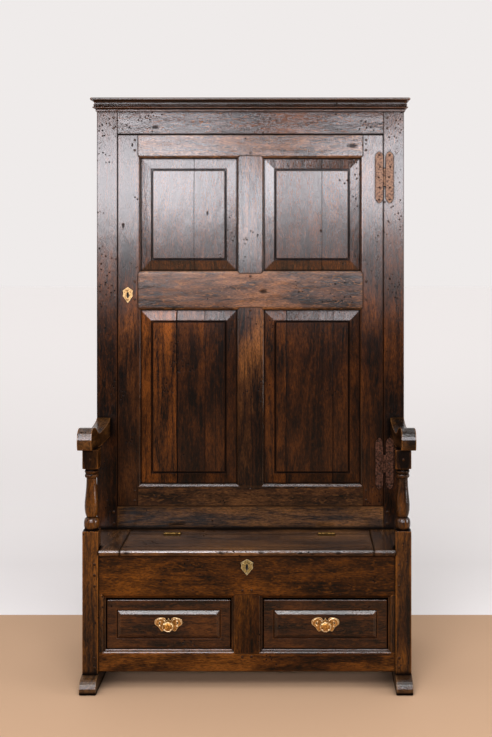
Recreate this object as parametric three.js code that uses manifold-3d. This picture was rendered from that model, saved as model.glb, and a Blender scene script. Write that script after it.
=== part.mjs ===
// Oak bacon settle: a box seat with a lifting lid and two drawers, open arms on turned posts, sledge feet,
// and a tall shallow cupboard as its back, closed by one four-panel door.
// Millimetres, +Z up, the front faces -Y, right is +X. The origin is on the floor, in the middle of the plan.

import * as THREE from 'three';
import * as BufferGeometryUtils from 'three/addons/utils/BufferGeometryUtils.js';
import Module from 'manifold-3d';

const wasm = await Module();
wasm.setup();

// Whole settle
const carcassWidth = 1086;
const overallHeight = 1985;
const seatHeight = 460;
const seatDepth = 280;
const cupboardDepth = 265;
const toeReach = 55;
const armRise = 330;

// Fits
const jointGap = 0.3;
const drawerSideGap = 2;
const drawerFootGap = 0.4;
const drawerHeadGap = 5;
const doorGap = 2;
const lidGap = 1.5;
const cutOverrun = 10;
const mergeReach = 0.002;

// Planes that the whole frame shares
const halfWidth = carcassWidth / 2;
const backY = (seatDepth + cupboardDepth + toeReach) / 2;
const cupboardY = backY - cupboardDepth;
const postY = cupboardY - seatDepth;
const toeY = postY - toeReach;
const postTop = seatHeight + armRise;

// Sledge feet
const footWidth = 54;
const footHeight = 50;
const toeLip = 12;

// Front posts
const postSide = 52;
const legAboveSeat = 62;
const blockHeight = 64;
const shoulderHeight = 14;
const shoulderNeck = 40;
const ballDiameter = 50;
const ballHeight = 36;
const ringDiameter = 45;
const ringHeight = 14;
const ringNeck = 34;
const quirk = 3;
const vaseDiameter = 46;
const turningSides = 36;
const postInnerX = halfWidth - postSide;
const postX = halfWidth - postSide / 2;
const postBackY = postY + postSide;

// Front frame of the seat
const railSetback = 4;
const railThickness = 24;
const seatBoard = 20;
const seatRailWidth = 128;
const lowerRailWidth = 58.5;
const lowerRailRise = 58.5;
const muntinWidth = 77;
const slipWidth = 11;
const drawerMoulding = 14;
const drawerMouldingDepth = 12;
const railY = postY + railSetback;
const railBackY = railY + railThickness;
const seatUnder = seatHeight - seatBoard;
const seatRailBottom = seatUnder - seatRailWidth;
const lowerRailTop = lowerRailRise + lowerRailWidth;
const drawerBayBottom = lowerRailTop + drawerMoulding;
const drawerBayTop = seatRailBottom - drawerMoulding;
const drawerBayInner = muntinWidth / 2 + drawerMoulding;
const drawerBayOuter = postInnerX - slipWidth - drawerMoulding;

// Seat boards and lid
const nosingReach = 12;
const nosingRound = 9;
const seatEndShown = 70.5;
const seatStripWidth = 69;
const lidBackGap = 2;
const lidFrontY = railY - nosingReach;
const lidBackY = cupboardY - seatStripWidth - lidBackGap;
const lidHingeY = lidBackY + lidBackGap / 2;
const lidBayHalf = postInnerX - seatEndShown;
const lidWidth = 2 * (lidBayHalf - lidGap);

// Boards inside the seat
const sideBoard = 20;
const boxFloor = 12;
const boxFloorLift = 2;
const baseBoard = 14;
const guideHeight = 20;
const guideGap = 1;
const dividerThickness = 20;
const backBoard = 18;
const insideHalf = halfWidth - sideBoard;
const backInsideY = backY - backBoard;

// Drawers
const drawerFrontThickness = 18;
const drawerSetback = 8;
const fieldBorder = 36;
const fieldBevel = 10.5;
const fieldRise = 6;
const drawerQuirk = 3;
const drawerQuirkDepth = 2;
const drawerArris = 3;
const drawerBoard = 12;
const drawerBottomBoard = 8;
const drawerBoxInset = 5;
const drawerBoxDrop = 23;
const drawerBackGap = 14;
const drawerWidth = drawerBayOuter - drawerBayInner - 2 * drawerSideGap;
const drawerHeight = drawerBayTop - drawerBayBottom - drawerFootGap - drawerHeadGap;
const drawerY = railY + drawerSetback;
const drawerZ = drawerBayBottom + drawerFootGap;
const drawerBackY = backInsideY - drawerBackGap;
const drawerBoxHeight = drawerHeight - drawerBoxDrop;

// Drawer pulls
const plateWidth = 89;
const plateHeight = 45;
const plateThickness = 1.8;
const plateEye = 7;
const knobWidth = 41;
const knobHeight = 34;
const knobReach = 27;
const knobStem = 14;
const knobPetals = 8;
const sidesPerPetal = 4;
const knobFluting = 1.2;

// Cupboard front
const stileWidth = 72;
const cupboardFrame = 26;
const corniceHeight = 48;
const topBoard = 20;
const topRailShown = 79;
const bottomRailWidth = 80;
const floorBoard = 18;
const doorBayHalf = halfWidth - stileWidth;
const doorBayBottom = seatHeight + bottomRailWidth;
const doorBayTop = overallHeight - corniceHeight - topRailShown;
const cupboardTop = overallHeight - topBoard;
const frameBackY = cupboardY + cupboardFrame;

// Cornice: from below a strip, a large bead, a small bead, a cove and a round
const corniceReach = 21;
const corniceStrip = 4;
const corniceStripHeight = 8;
const corniceBead = 13;
const corniceBeadHeight = 10;
const corniceFillet = 8;
const corniceSmallBead = 11;
const corniceSmallBeadHeight = 8;
const corniceRound = 5.5;

// Door
const doorThickness = 24;
const doorStile = 71;
const doorTopRail = 73;
const doorLockRail = 120;
const doorLockRailShare = 0.535;
const doorKeyholeAboveRail = 44;
const doorBottomRail = 68;
const doorMuntin = 76;
const doorMoulding = 10;
const doorMouldingDepth = 8;
const doorTenon = 30;
const tenonThickness = 8;
const doorHeadGap = 4;
const doorZ = doorBayBottom + doorGap;
const doorHeight = doorBayTop - doorHeadGap - doorZ;
const doorHalf = doorBayHalf - doorGap;
const doorFlatHalf = doorHalf - doorStile;
const doorLockRailRise = doorHeight * doorLockRailShare;
const doorKeyholeRise = doorLockRailRise + doorKeyholeAboveRail;

// Door panels
const panelTongue = 8;
const panelTongueThickness = 6;
const panelBevel = 43;
const panelBevelRise = 6;
const panelFieldStep = 2;
const panelQuirk = 6;
const panelQuirkDepth = 3;
const panelGap = 0.5;

// Door hinges
const hingeLength = 182;
const hingeLeaf = 27;
const hingePlate = 2.5;
const hingePoint = 22;
const hingeBarrel = 9;
const hingePin = 4;
const hingeKnuckles = 60;
const hingeFromPost = 3;
const hingeFromEnd = 150;

// Lid hinges
const lidHingeLength = 57;
const lidHingeLeaf = 24;
const lidHingePlate = 2;
const lidHingeBarrel = 7;
const lidHingePin = 3;
const lidHingeRise = 2;
const lidHingeFromEnd = 151;
const lidHingeX = lidWidth / 2 - lidHingeFromEnd;

// Locks
const doorEscutcheonWidth = 36;
const doorEscutcheonHeight = 56;
const seatEscutcheonWidth = 41;
const seatEscutcheonHeight = 53;
const seatKeyholeDrop = 57;
const escutcheonThickness = 1.8;
const keyholeEye = 7;
const keyholeSlot = 4;
const keyholeHeight = 18;
const keyholeDepth = 3;
const lockCaseWidth = 62;
const lockCaseHeight = 64;
const lockCaseThickness = 17;
const lockCaseInset = 4;
const boltHeight = 14;
const boltThickness = 6;
const boltLength = 40;

// Arms
const armWidth = 48;
const armEndHeight = 72;
const armBackHeight = 64;
const armDipHeight = 44;
const armEndReach = 27;
const armEndLength = 74;
const armFlare = 15;
const armFlareLength = 105;

// Finishes
const darkOak = { color: 0x4a2f1c, roughness: 0.45, metalness: 0 };
const paleOak = { color: 0x7a5a3a, roughness: 0.7, metalness: 0 };
const wroughtIron = { color: 0x6b4436, roughness: 0.75, metalness: 0.7 };
const agedBrass = { color: 0xc9964a, roughness: 0.35, metalness: 1 };
const dullBrass = { color: 0x8f8a5a, roughness: 0.55, metalness: 1 };
const lockIron = { color: 0x4a4543, roughness: 0.6, metalness: 0.9 };

// Solids from three.js geometry, and back again
function solidOf(geometry) {
  const bare = geometry.clone();
  bare.deleteAttribute('normal');
  bare.deleteAttribute('uv');
  const merged = BufferGeometryUtils.mergeVertices(bare, mergeReach);
  const vertProperties = Float32Array.from(merged.attributes.position.array);
  const triVerts = Uint32Array.from(merged.index.array);
  return new wasm.Manifold(new wasm.Mesh({ numProp: 3, vertProperties, triVerts }));
}

function geometryOf(solid) {
  const mesh = solid.getMesh();
  const geometry = new THREE.BufferGeometry();
  const places = new THREE.Float32BufferAttribute(mesh.vertProperties, mesh.numProp);
  geometry.setAttribute('position', places);
  geometry.setIndex(Array.from(mesh.triVerts));
  geometry.computeVertexNormals();
  return geometry;
}

function joined(solids) {
  return solids.reduce((whole, next) => whole.add(next));
}

function shared(solids) {
  return solids.reduce((common, next) => common.intersect(next));
}

// A box between two corners, given in either order
function block([x0, x1], [y0, y1], [z0, z1]) {
  const box = new THREE.BoxGeometry(Math.abs(x1 - x0), Math.abs(y1 - y0), Math.abs(z1 - z0));
  box.translate((x0 + x1) / 2, (y0 + y1) / 2, (z0 + z1) / 2);
  return solidOf(box);
}

// An outline drawn in X and Z, sawn from a board that reaches from y0 back to y1
function sawnFront(shape, y0, y1, curveSegments = 12) {
  const board = new THREE.ExtrudeGeometry(shape, { depth: y1 - y0, bevelEnabled: false, curveSegments });
  board.rotateX(Math.PI / 2);
  board.translate(0, y1, 0);
  return solidOf(board);
}

// A section drawn in Y and Z, run along X from x0 to x1
function runAlongX(shape, x0, x1, curveSegments = 8) {
  const start = Math.min(x0, x1);
  const depth = Math.abs(x1 - x0);
  const run = new THREE.ExtrudeGeometry(shape, { depth, bevelEnabled: false, curveSegments });
  const alongX = new THREE.Matrix4().makeBasis(
    new THREE.Vector3(0, 1, 0),
    new THREE.Vector3(0, 0, 1),
    new THREE.Vector3(1, 0, 0),
  );
  run.applyMatrix4(alongX);
  run.translate(start, 0, 0);
  return solidOf(run);
}

// A plan drawn in X and Y, raised from z0 to z1
function raisedPlan(shape, z0, z1, curveSegments = 12) {
  const plan = new THREE.ExtrudeGeometry(shape, { depth: z1 - z0, bevelEnabled: false, curveSegments });
  plan.translate(0, 0, z0);
  return solidOf(plan);
}

// A section of radii and heights, turned about an upright line through x and y
function turned(points, x, y, sides = 20) {
  const spun = new THREE.LatheGeometry(points, sides);
  spun.rotateX(Math.PI / 2);
  spun.translate(x, y, 0);
  return solidOf(spun);
}

function rectangle([x0, x1], [y0, y1]) {
  const shape = new THREE.Shape();
  shape.moveTo(x0, y0);
  shape.lineTo(x1, y0);
  shape.lineTo(x1, y1);
  shape.lineTo(x0, y1);
  return shape;
}

function shrunk([a, b], by) {
  return [a + by, b - by];
}

function ordered(a, b) {
  return [Math.min(a, b), Math.max(a, b)];
}

// A frame face with moulded openings: one quarter round for each step, mitred where its sides meet.
// The openings are the sight edges, and what each member keeps of this face is its own moulding.
function mouldedFace(outer, openings, { width, depth, steps, y, thickness }) {
  const stepWidth = width / steps;
  const stepDepth = depth / steps;
  const run = thickness + cutOverrun;
  function faceRound(opening, step) {
    const spread = step * stepWidth - width;
    const shape = rectangle(outer.x, outer.z);
    shape.holes.push(rectangle(shrunk(opening.x, spread), shrunk(opening.z, spread)));
    const face = new THREE.ExtrudeGeometry(shape, {
      depth: run,
      bevelThickness: stepDepth,
      bevelSize: stepWidth,
      bevelSegments: 4,
    });
    face.rotateX(Math.PI / 2);
    face.translate(0, y + run + (step + 1) * stepDepth, 0);
    return solidOf(face);
  }
  const levels = [];
  for (let step = 0; step < steps; step += 1) {
    levels.push(shared(openings.map((opening) => faceRound(opening, step))));
  }
  return joined(levels);
}

// The strip that a member adds on one side of an opening, mitred at both ends, as an outline in X and Z
function mouldingStrip(opening, side, width) {
  const [left, right] = opening.x;
  const [bottom, top] = opening.z;
  const inset = jointGap / 2;
  const strip = new THREE.Shape();
  if (side === 'left' || side === 'right') {
    const sight = side === 'left' ? left : right;
    const out = side === 'left' ? -1 : 1;
    strip.moveTo(sight, bottom + inset);
    strip.lineTo(sight, top - inset);
    strip.lineTo(sight + out * width, top + width - inset);
    strip.lineTo(sight + out * (width + cutOverrun / 2), top + width - inset);
    strip.lineTo(sight + out * (width + cutOverrun / 2), bottom - width + inset);
    strip.lineTo(sight + out * width, bottom - width + inset);
  } else {
    const sight = side === 'bottom' ? bottom : top;
    const out = side === 'bottom' ? -1 : 1;
    strip.moveTo(left + inset, sight);
    strip.lineTo(right - inset, sight);
    strip.lineTo(right + width - inset, sight + out * width);
    strip.lineTo(right + width - inset, sight + out * (width + cutOverrun / 2));
    strip.lineTo(left - width + inset, sight + out * (width + cutOverrun / 2));
    strip.lineTo(left - width + inset, sight + out * width);
  }
  return strip;
}

// A straight frame member: its flat, plus the moulding strips that it carries, cut by the moulded face
function moulded(x, z, strips, face, { width, y, thickness }) {
  const pieces = [block(x, [y, y + thickness], z)];
  for (const [opening, side] of strips) {
    pieces.push(sawnFront(mouldingStrip(opening, side, width), y, y + thickness));
  }
  return joined(pieces).intersect(face);
}

// A board whose front edge is worked all round, as a straight bevel or as a round of several segments
function workedBoard(x, z, y0, y1, { reach, rise, segments }) {
  const depth = y1 - y0;
  const front = rectangle(shrunk(x, reach), shrunk(z, reach));
  const board = new THREE.ExtrudeGeometry(front, {
    depth,
    bevelThickness: rise,
    bevelSize: reach,
    bevelSegments: segments,
  });
  board.rotateX(Math.PI / 2);
  board.translate(0, y0 + depth + rise, 0);
  return solidOf(board).intersect(block(shrunk(x, -reach), [y0, y1], shrunk(z, -reach)));
}

function addPiece(group, name, solid, finish) {
  const mesh = new THREE.Mesh(geometryOf(solid), new THREE.MeshStandardMaterial(finish));
  mesh.name = name;
  group.add(mesh);
  return mesh;
}

const settle = new THREE.Group();
const hands = [
  { hand: 'left', side: -1 },
  { hand: 'right', side: 1 },
];

// Openings of the seat front, one for each drawer, by their sight edges
function drawerBay(side) {
  return {
    x: ordered(side * drawerBayInner, side * drawerBayOuter),
    z: [drawerBayBottom, drawerBayTop],
  };
}

const drawerBays = hands.map(({ side }) => drawerBay(side));
const seatFront = { width: drawerMoulding, y: railY, thickness: railThickness };
const seatFace = mouldedFace(
  { x: [-halfWidth, halfWidth], z: [0, seatHeight] },
  drawerBays,
  { ...seatFront, depth: drawerMouldingDepth, steps: 2 },
);

// Sledge feet: a bearer with a rounded nose that runs out in front of the post
function footOutline() {
  const outline = new THREE.Shape();
  outline.moveTo(backY, 0);
  outline.lineTo(toeY + toeLip, 0);
  outline.quadraticCurveTo(toeY, 0, toeY, toeLip);
  outline.quadraticCurveTo(toeY, footHeight, postY, footHeight);
  outline.lineTo(backY, footHeight);
  return outline;
}

for (const { hand, side } of hands) {
  const foot = runAlongX(footOutline(), -footWidth / 2, footWidth / 2);
  addPiece(settle, `sledge_foot_${hand}`, foot, darkOak).position.x = side * postX;
}

// Front posts: square stock with a turned length between the leg and the block that carries the arm
const legTop = seatHeight + legAboveSeat;
const blockBottom = postTop - blockHeight;

// A ring or ball of the turning: a bulge between two necks
function bulge(neck, diameter, bottom, height, steps) {
  const points = [];
  for (let step = 0; step <= steps; step += 1) {
    const turn = (Math.PI * step) / steps;
    const radius = neck / 2 + ((diameter - neck) / 2) * Math.sin(turn);
    points.push(new THREE.Vector2(radius, bottom + (height / 2) * (1 - Math.cos(turn))));
  }
  return points;
}

// The rounded shoulder that the turning leaves on the square, from the face to the neck
function shoulder(face, neck, reach, steps) {
  const points = [];
  for (let step = 0; step <= steps; step += 1) {
    const turn = (Math.PI / 2) * (step / steps);
    const radius = neck / 2 + (face - neck / 2) * Math.cos(turn);
    points.push(new THREE.Vector2(radius, reach * Math.sin(turn)));
  }
  return points;
}

// The vase between the ball and the rings, as shares of its belly's radius and of its height
const vaseRadiusShares = [0.7, 0.86, 0.99, 0.97, 0.84, 0.75, 0.72];
const vaseHeightShares = [0, 0.08, 0.22, 0.38, 0.62, 0.82, 1];

function postTurning() {
  const clearRadius = postSide;
  const ballBottom = legTop + quirk;
  const vaseBottom = ballBottom + ballHeight + quirk;
  const ringsBottom = blockBottom - quirk - 2 * ringHeight;
  const vaseHeight = ringsBottom - vaseBottom;
  const vase = new THREE.SplineCurve(vaseRadiusShares.map((share, i) => (
    new THREE.Vector2((share * vaseDiameter) / 2, vaseBottom + vaseHeightShares[i] * vaseHeight)
  )));
  const leg = shoulder(clearRadius, shoulderNeck, shoulderHeight, 7);
  const block = shoulder(clearRadius, shoulderNeck, shoulderHeight, 7).reverse();
  return [
    new THREE.Vector2(0, footHeight - cutOverrun),
    new THREE.Vector2(clearRadius, footHeight - cutOverrun),
    ...leg.map(({ x, y }) => new THREE.Vector2(x, legTop - shoulderHeight + y)),
    ...bulge(shoulderNeck, ballDiameter, ballBottom, ballHeight, 8),
    ...vase.getPoints(10),
    ...bulge(ringNeck, ringDiameter, ringsBottom, ringHeight, 5),
    ...bulge(ringNeck, ringDiameter, ringsBottom + ringHeight, ringHeight, 5).slice(1),
    ...block.map(({ x, y }) => new THREE.Vector2(x, blockBottom + shoulderHeight - y)),
    new THREE.Vector2(clearRadius, postTop + cutOverrun),
    new THREE.Vector2(0, postTop + cutOverrun),
  ];
}

// The slip beside the drawer is worked on the post's own node: flat, then its moulding
function drawerSlip(side, bay) {
  const x = ordered(side * (postInnerX - slipWidth), side * (postInnerX + cutOverrun));
  const z = shrunk([lowerRailTop, seatRailBottom], jointGap / 2);
  return moulded(x, z, [[bay, side < 0 ? 'left' : 'right']], seatFace, seatFront);
}

for (const [i, { hand, side }] of hands.entries()) {
  const stock = block(
    ordered(side * postInnerX, side * halfWidth),
    [postY, postBackY],
    [footHeight, postTop],
  );
  const turning = turned(postTurning(), side * postX, postY + postSide / 2, turningSides);
  const post = stock.intersect(turning).add(drawerSlip(side, drawerBays[i]));
  addPiece(settle, `front_post_${hand}`, post, darkOak);
}

// Rails and muntin of the seat front
const frontRun = shrunk([-postInnerX, postInnerX], jointGap);
const seatRailStrips = drawerBays.map((bay) => [bay, 'top']);
const lowerRailStrips = drawerBays.map((bay) => [bay, 'bottom']);
const muntinStrips = [[drawerBays[0], 'right'], [drawerBays[1], 'left']];
const seatKeyholeZ = seatHeight - seatKeyholeDrop;

// A keyhole outline about its own middle: a round eye over a straight slot
function keyholeOutline() {
  const eyeRadius = keyholeEye / 2;
  const eyeZ = keyholeHeight / 2 - eyeRadius;
  const slotTurn = Math.asin(keyholeSlot / keyholeEye);
  const outline = new THREE.Path();
  outline.moveTo(keyholeSlot / 2, -keyholeHeight / 2);
  outline.absarc(0, eyeZ, eyeRadius, slotTurn - Math.PI / 2, Math.PI * 1.5 - slotTurn, false);
  outline.lineTo(-keyholeSlot / 2, -keyholeHeight / 2);
  return outline;
}

function keyholeCut(x, y, z) {
  const cut = new THREE.Shape(keyholeOutline().getPoints(8));
  const hole = new THREE.ExtrudeGeometry(cut, { depth: keyholeDepth + cutOverrun, bevelEnabled: false });
  hole.rotateX(Math.PI / 2);
  hole.translate(x, y + keyholeDepth, z);
  return solidOf(hole);
}

const seatRail = moulded(frontRun, [seatRailBottom, seatUnder], seatRailStrips, seatFace, seatFront)
  .subtract(keyholeCut(0, railY, seatKeyholeZ));
addPiece(settle, 'seat_rail', seatRail, darkOak);

const lowerRail = moulded(frontRun, [lowerRailRise, lowerRailTop], lowerRailStrips, seatFace, seatFront);
addPiece(settle, 'lower_rail', lowerRail, darkOak);

const muntinX = [-muntinWidth / 2, muntinWidth / 2];
const muntinZ = shrunk([lowerRailTop, seatRailBottom], jointGap / 2);
addPiece(settle, 'drawer_muntin', moulded(muntinX, muntinZ, muntinStrips, seatFace, seatFront), darkOak);

// Seat boards: end boards let round the posts, and the strip that carries the lid's hinges
function nosedSection(y0, y1) {
  const section = new THREE.Shape();
  section.moveTo(y1, seatUnder);
  section.lineTo(y0 + nosingRound, seatUnder);
  section.bezierCurveTo(y0, seatUnder, y0, seatHeight, y0 + nosingRound, seatHeight);
  section.lineTo(y1, seatHeight);
  return section;
}

for (const { hand, side } of hands) {
  const nosed = runAlongX(
    nosedSection(lidFrontY, cupboardY - jointGap),
    side * lidBayHalf,
    side * (postInnerX - jointGap),
  );
  const behindPost = block(
    ordered(side * (postInnerX - cutOverrun), side * halfWidth),
    [postBackY + jointGap, cupboardY - jointGap],
    [seatUnder, seatHeight],
  );
  addPiece(settle, `seat_end_${hand}`, nosed.add(behindPost), darkOak);
}

// Boards inside the seat, notched round posts and stiles
const insideX = [-insideHalf, insideHalf];
const insideY = [railBackY, backInsideY];

function uprightsWithRoom() {
  return joined(hands.flatMap(({ side }) => {
    const post = [side * (postInnerX - jointGap), side * halfWidth];
    const stile = [side * (doorBayHalf - jointGap), side * halfWidth];
    return [
      block(post, [postY, postBackY + jointGap], [0, seatUnder]),
      block(stile, [cupboardY - jointGap, frameBackY + jointGap], [0, cupboardTop]),
    ];
  }));
}

const uprights = uprightsWithRoom();
const roomyInsideX = shrunk(insideX, jointGap);
const roomyInsideY = shrunk(insideY, jointGap);
const boxFloorZ = [drawerBayTop + boxFloorLift, drawerBayTop + boxFloorLift + boxFloor];
const boxFloorSolid = block(roomyInsideX, roomyInsideY, boxFloorZ).subtract(uprights);
addPiece(settle, 'seat_box_floor', boxFloorSolid, paleOak);

const baseBoardZ = [drawerBayBottom - baseBoard, drawerBayBottom];
const baseBoardSolid = block(roomyInsideX, roomyInsideY, baseBoardZ).subtract(uprights);
addPiece(settle, 'base_board', baseBoardSolid, paleOak);

// The divider is an upright board on a broad foot that guides the inner side of both drawers
const guideHalf = drawerBayInner + drawerSideGap + drawerBoxInset - guideGap;
const dividerWeb = block(
  [-dividerThickness / 2, dividerThickness / 2],
  roomyInsideY,
  [drawerBayBottom, drawerBayTop + boxFloorLift],
);
const dividerFoot = block(
  [-guideHalf, guideHalf],
  [drawerY + drawerFrontThickness + guideGap, roomyInsideY[1]],
  [drawerBayBottom, drawerBayBottom + guideHeight],
);
addPiece(settle, 'drawer_divider', dividerWeb.add(dividerFoot), paleOak);

// Sides, back and top of the carcass
for (const { hand, side } of hands) {
  const sideX = ordered(side * insideHalf, side * halfWidth);
  const seatSideY = [postBackY + jointGap, cupboardY - jointGap];
  addPiece(settle, `seat_side_${hand}`, block(sideX, seatSideY, [footHeight, seatUnder]), darkOak);
  const cupboardSideY = [frameBackY, backInsideY];
  addPiece(settle, `side_board_${hand}`, block(sideX, cupboardSideY, [footHeight, cupboardTop]), darkOak);
  const stileX = ordered(side * doorBayHalf, side * halfWidth);
  const stile = block(stileX, [cupboardY, frameBackY], [footHeight, cupboardTop]);
  addPiece(settle, `cupboard_stile_${hand}`, stile, darkOak);
}

const backBoardZ = [lowerRailRise, cupboardTop];
addPiece(settle, 'back_board', block([-halfWidth, halfWidth], [backInsideY, backY], backBoardZ), darkOak);
const topBoardZ = [cupboardTop, overallHeight];
addPiece(settle, 'top_board', block([-halfWidth, halfWidth], [cupboardY, backY], topBoardZ), darkOak);

// Cupboard front frame and floor
const doorBayX = shrunk([-doorBayHalf, doorBayHalf], jointGap);
const frameY = [cupboardY, frameBackY];
addPiece(settle, 'top_rail', block(doorBayX, frameY, [doorBayTop, cupboardTop]), darkOak);
addPiece(settle, 'bottom_rail', block(doorBayX, frameY, [seatUnder, doorBayBottom]), darkOak);
const cupboardFloorZ = [doorBayBottom - floorBoard, doorBayBottom];
const cupboardFloorY = [frameBackY, backInsideY];
addPiece(settle, 'cupboard_floor', block(roomyInsideX, cupboardFloorY, cupboardFloorZ), paleOak);

// Cornice: its section is drawn outwards and upwards from its lower edge on the cupboard's face
function corniceSection() {
  const beadTop = corniceStripHeight + corniceBeadHeight;
  const smallBeadTop = beadTop + corniceSmallBeadHeight;
  const roundBottom = corniceHeight - 2 * corniceRound;
  const roundOut = corniceReach - corniceRound;
  const section = new THREE.Shape();
  section.moveTo(0, 0);
  section.lineTo(corniceStrip, 0);
  section.lineTo(corniceStrip, corniceStripHeight);
  section.quadraticCurveTo(2 * corniceBead - corniceStrip, corniceStripHeight + corniceBeadHeight / 2,
    corniceFillet, beadTop);
  section.quadraticCurveTo(2 * corniceSmallBead - corniceFillet, beadTop + corniceSmallBeadHeight / 2,
    corniceFillet, smallBeadTop);
  section.quadraticCurveTo(corniceFillet, roundBottom, roundOut, roundBottom);
  section.absarc(roundOut, corniceHeight - corniceRound, corniceRound, -Math.PI / 2, Math.PI / 2, false);
  section.lineTo(0, corniceHeight);
  return section;
}

// A moulding run: place turns out, up and the share along the run into a point
function mouldingRun(section, place) {
  const run = new THREE.ExtrudeGeometry(section, { depth: 1, bevelEnabled: false, curveSegments: 5 });
  const spots = run.attributes.position;
  for (let i = 0; i < spots.count; i += 1) {
    const [x, y, z] = place(spots.getX(i), spots.getY(i), spots.getZ(i));
    spots.setXYZ(i, x, y, z);
  }
  return solidOf(run);
}

const corniceBottom = overallHeight - corniceHeight;
const mitreGap = jointGap / 2;
const corniceFront = mouldingRun(corniceSection(), (out, up, share) => [
  (1 - 2 * share) * (halfWidth + out - mitreGap),
  cupboardY - out,
  corniceBottom + up,
]);
addPiece(settle, 'cornice_front', corniceFront, darkOak);

for (const { hand, side } of hands) {
  const corniceReturn = mouldingRun(corniceSection(), (out, up, share) => {
    const forward = side > 0 ? share : 1 - share;
    const frontEnd = cupboardY - out + mitreGap;
    return [side * (halfWidth + out), backY + forward * (frontEnd - backY), corniceBottom + up];
  });
  addPiece(settle, `cornice_${hand}`, corniceReturn, darkOak);
}

// Arms: sawn once to the side outline and once to the plan, which flares the hand end outwards
function armSide() {
  const frontY = postY - armEndReach;
  const nose = armEndHeight / 2;
  const dipY = postY + armEndLength;
  const backEnd = cupboardY - jointGap;
  const outline = new THREE.Shape();
  outline.moveTo(backEnd, postTop);
  outline.lineTo(frontY + nose / 2, postTop);
  outline.bezierCurveTo(frontY, postTop, frontY, postTop + armEndHeight, frontY + nose, postTop + armEndHeight);
  outline.bezierCurveTo(frontY + armEndLength, postTop + armEndHeight, dipY - nose, postTop + armDipHeight,
    dipY, postTop + armDipHeight);
  outline.quadraticCurveTo(backEnd - nose, postTop + armDipHeight, backEnd, postTop + armBackHeight);
  return outline;
}

function armPlan(side) {
  const outer = halfWidth;
  const inner = halfWidth - armWidth;
  const frontY = postY - armEndReach - cutOverrun;
  const flareY = postY + armFlareLength;
  const bendY = (frontY + flareY) / 2;
  const plan = new THREE.Shape();
  plan.moveTo(side * inner, cupboardY);
  plan.lineTo(side * inner, flareY);
  plan.bezierCurveTo(side * inner, bendY, side * (inner + armFlare), bendY, side * (inner + armFlare), frontY);
  plan.lineTo(side * (outer + armFlare), frontY);
  plan.bezierCurveTo(side * (outer + armFlare), bendY, side * outer, bendY, side * outer, flareY);
  plan.lineTo(side * outer, cupboardY);
  return plan;
}

for (const { hand, side } of hands) {
  const innerX = side * (halfWidth - armWidth - armFlare);
  const sawnSide = runAlongX(armSide(), innerX, side * (halfWidth + armFlare), 10);
  const sawnPlan = raisedPlan(armPlan(side), postTop - cutOverrun, postTop + armEndHeight + cutOverrun, 8);
  addPiece(settle, `arm_${hand}`, sawnSide.intersect(sawnPlan), darkOak);
}

// Hinges. A leaf is built about its pin, which runs along Z: the board's face lies toward +Y of the pin.
// Its knuckles are given as pairs of places along the pin, and one leaf of each pair carries the pin.
function barrel(diameter, bore, [from, to]) {
  const points = [
    new THREE.Vector2(bore / 2, from),
    new THREE.Vector2(diameter / 2, from),
    new THREE.Vector2(diameter / 2, to),
    new THREE.Vector2(bore / 2, to),
    new THREE.Vector2(bore / 2, from),
  ];
  return turned(points, 0, 0);
}

function pin(diameter, [from, to]) {
  const points = [
    new THREE.Vector2(0, from),
    new THREE.Vector2(diameter / 2, from),
    new THREE.Vector2(diameter / 2, to),
    new THREE.Vector2(0, to),
  ];
  return turned(points, 0, 0);
}

function pinLeaf(plate, knuckles, { diameter, pinDiameter }) {
  const length = [knuckles[0][0], knuckles[knuckles.length - 1][1]];
  const solidKnuckles = knuckles.map((span) => barrel(diameter, pinDiameter - jointGap, span));
  return joined([plate, ...solidKnuckles, pin(pinDiameter, length)]);
}

function boredLeaf(plate, knuckles, { diameter, pinDiameter }) {
  const bored = knuckles.map((span) => barrel(diameter, pinDiameter + 2 * jointGap, span));
  const reach = [knuckles[0][0] - cutOverrun, knuckles[knuckles.length - 1][1] + cutOverrun];
  const cleared = plate.subtract(pin(pinDiameter + 2 * jointGap, reach));
  return joined([cleared, ...bored]);
}

// Three knuckles along a length: the pin's leaf has the two outer ones, the moving leaf the middle one
function knuckleSpans(length) {
  const sixth = length / 6;
  return {
    outer: [[-length / 2, -sixth], [sixth, length / 2]],
    middle: [[-sixth + jointGap, sixth - jointGap]],
  };
}

// Door hinge leaf: one upright of the H with pointed ends, and a neck to each of its knuckles
function hLeafPlate(side, spans) {
  const near = hingeBarrel / 2 + jointGap;
  const far = near + hingeLeaf;
  const middle = (near + far) / 2;
  const half = hingeLength / 2;
  const waist = hingePoint / 3;
  const upright = new THREE.Shape();
  upright.moveTo(side * near, 0);
  for (const way of [1, -1]) {
    const inner = way > 0 ? near : far;
    const outer = way > 0 ? far : near;
    upright.lineTo(side * inner, way * (half - hingePoint));
    upright.quadraticCurveTo(side * inner, way * (half - waist), side * middle, way * half);
    upright.quadraticCurveTo(side * outer, way * (half - waist), side * outer, way * (half - hingePoint));
  }
  const y = [hingeBarrel / 2 - hingePlate, hingeBarrel / 2];
  const plate = sawnFront(upright, y[0], y[1], 5);
  const necks = spans.map((span) => block(ordered(0, side * (near + jointGap)), y, span));
  return joined([plate, ...necks]);
}

// Lid hinge leaf: a plate let in flush, cleared for the knuckles of the other leaf
function buttPlate(side, otherSpans) {
  const y = [lidHingeRise, lidHingeRise + lidHingePlate];
  const plate = block(ordered(0, side * lidHingeLeaf), y, [-lidHingeLength / 2, lidHingeLength / 2]);
  const room = lidHingeBarrel / 2 + jointGap;
  const rooms = otherSpans.map(([from, to]) => (
    block([-room, room], [y[0] - cutOverrun, y[1] + cutOverrun], [from - jointGap, to + jointGap])
  ));
  return plate.subtract(joined(rooms));
}

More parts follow.
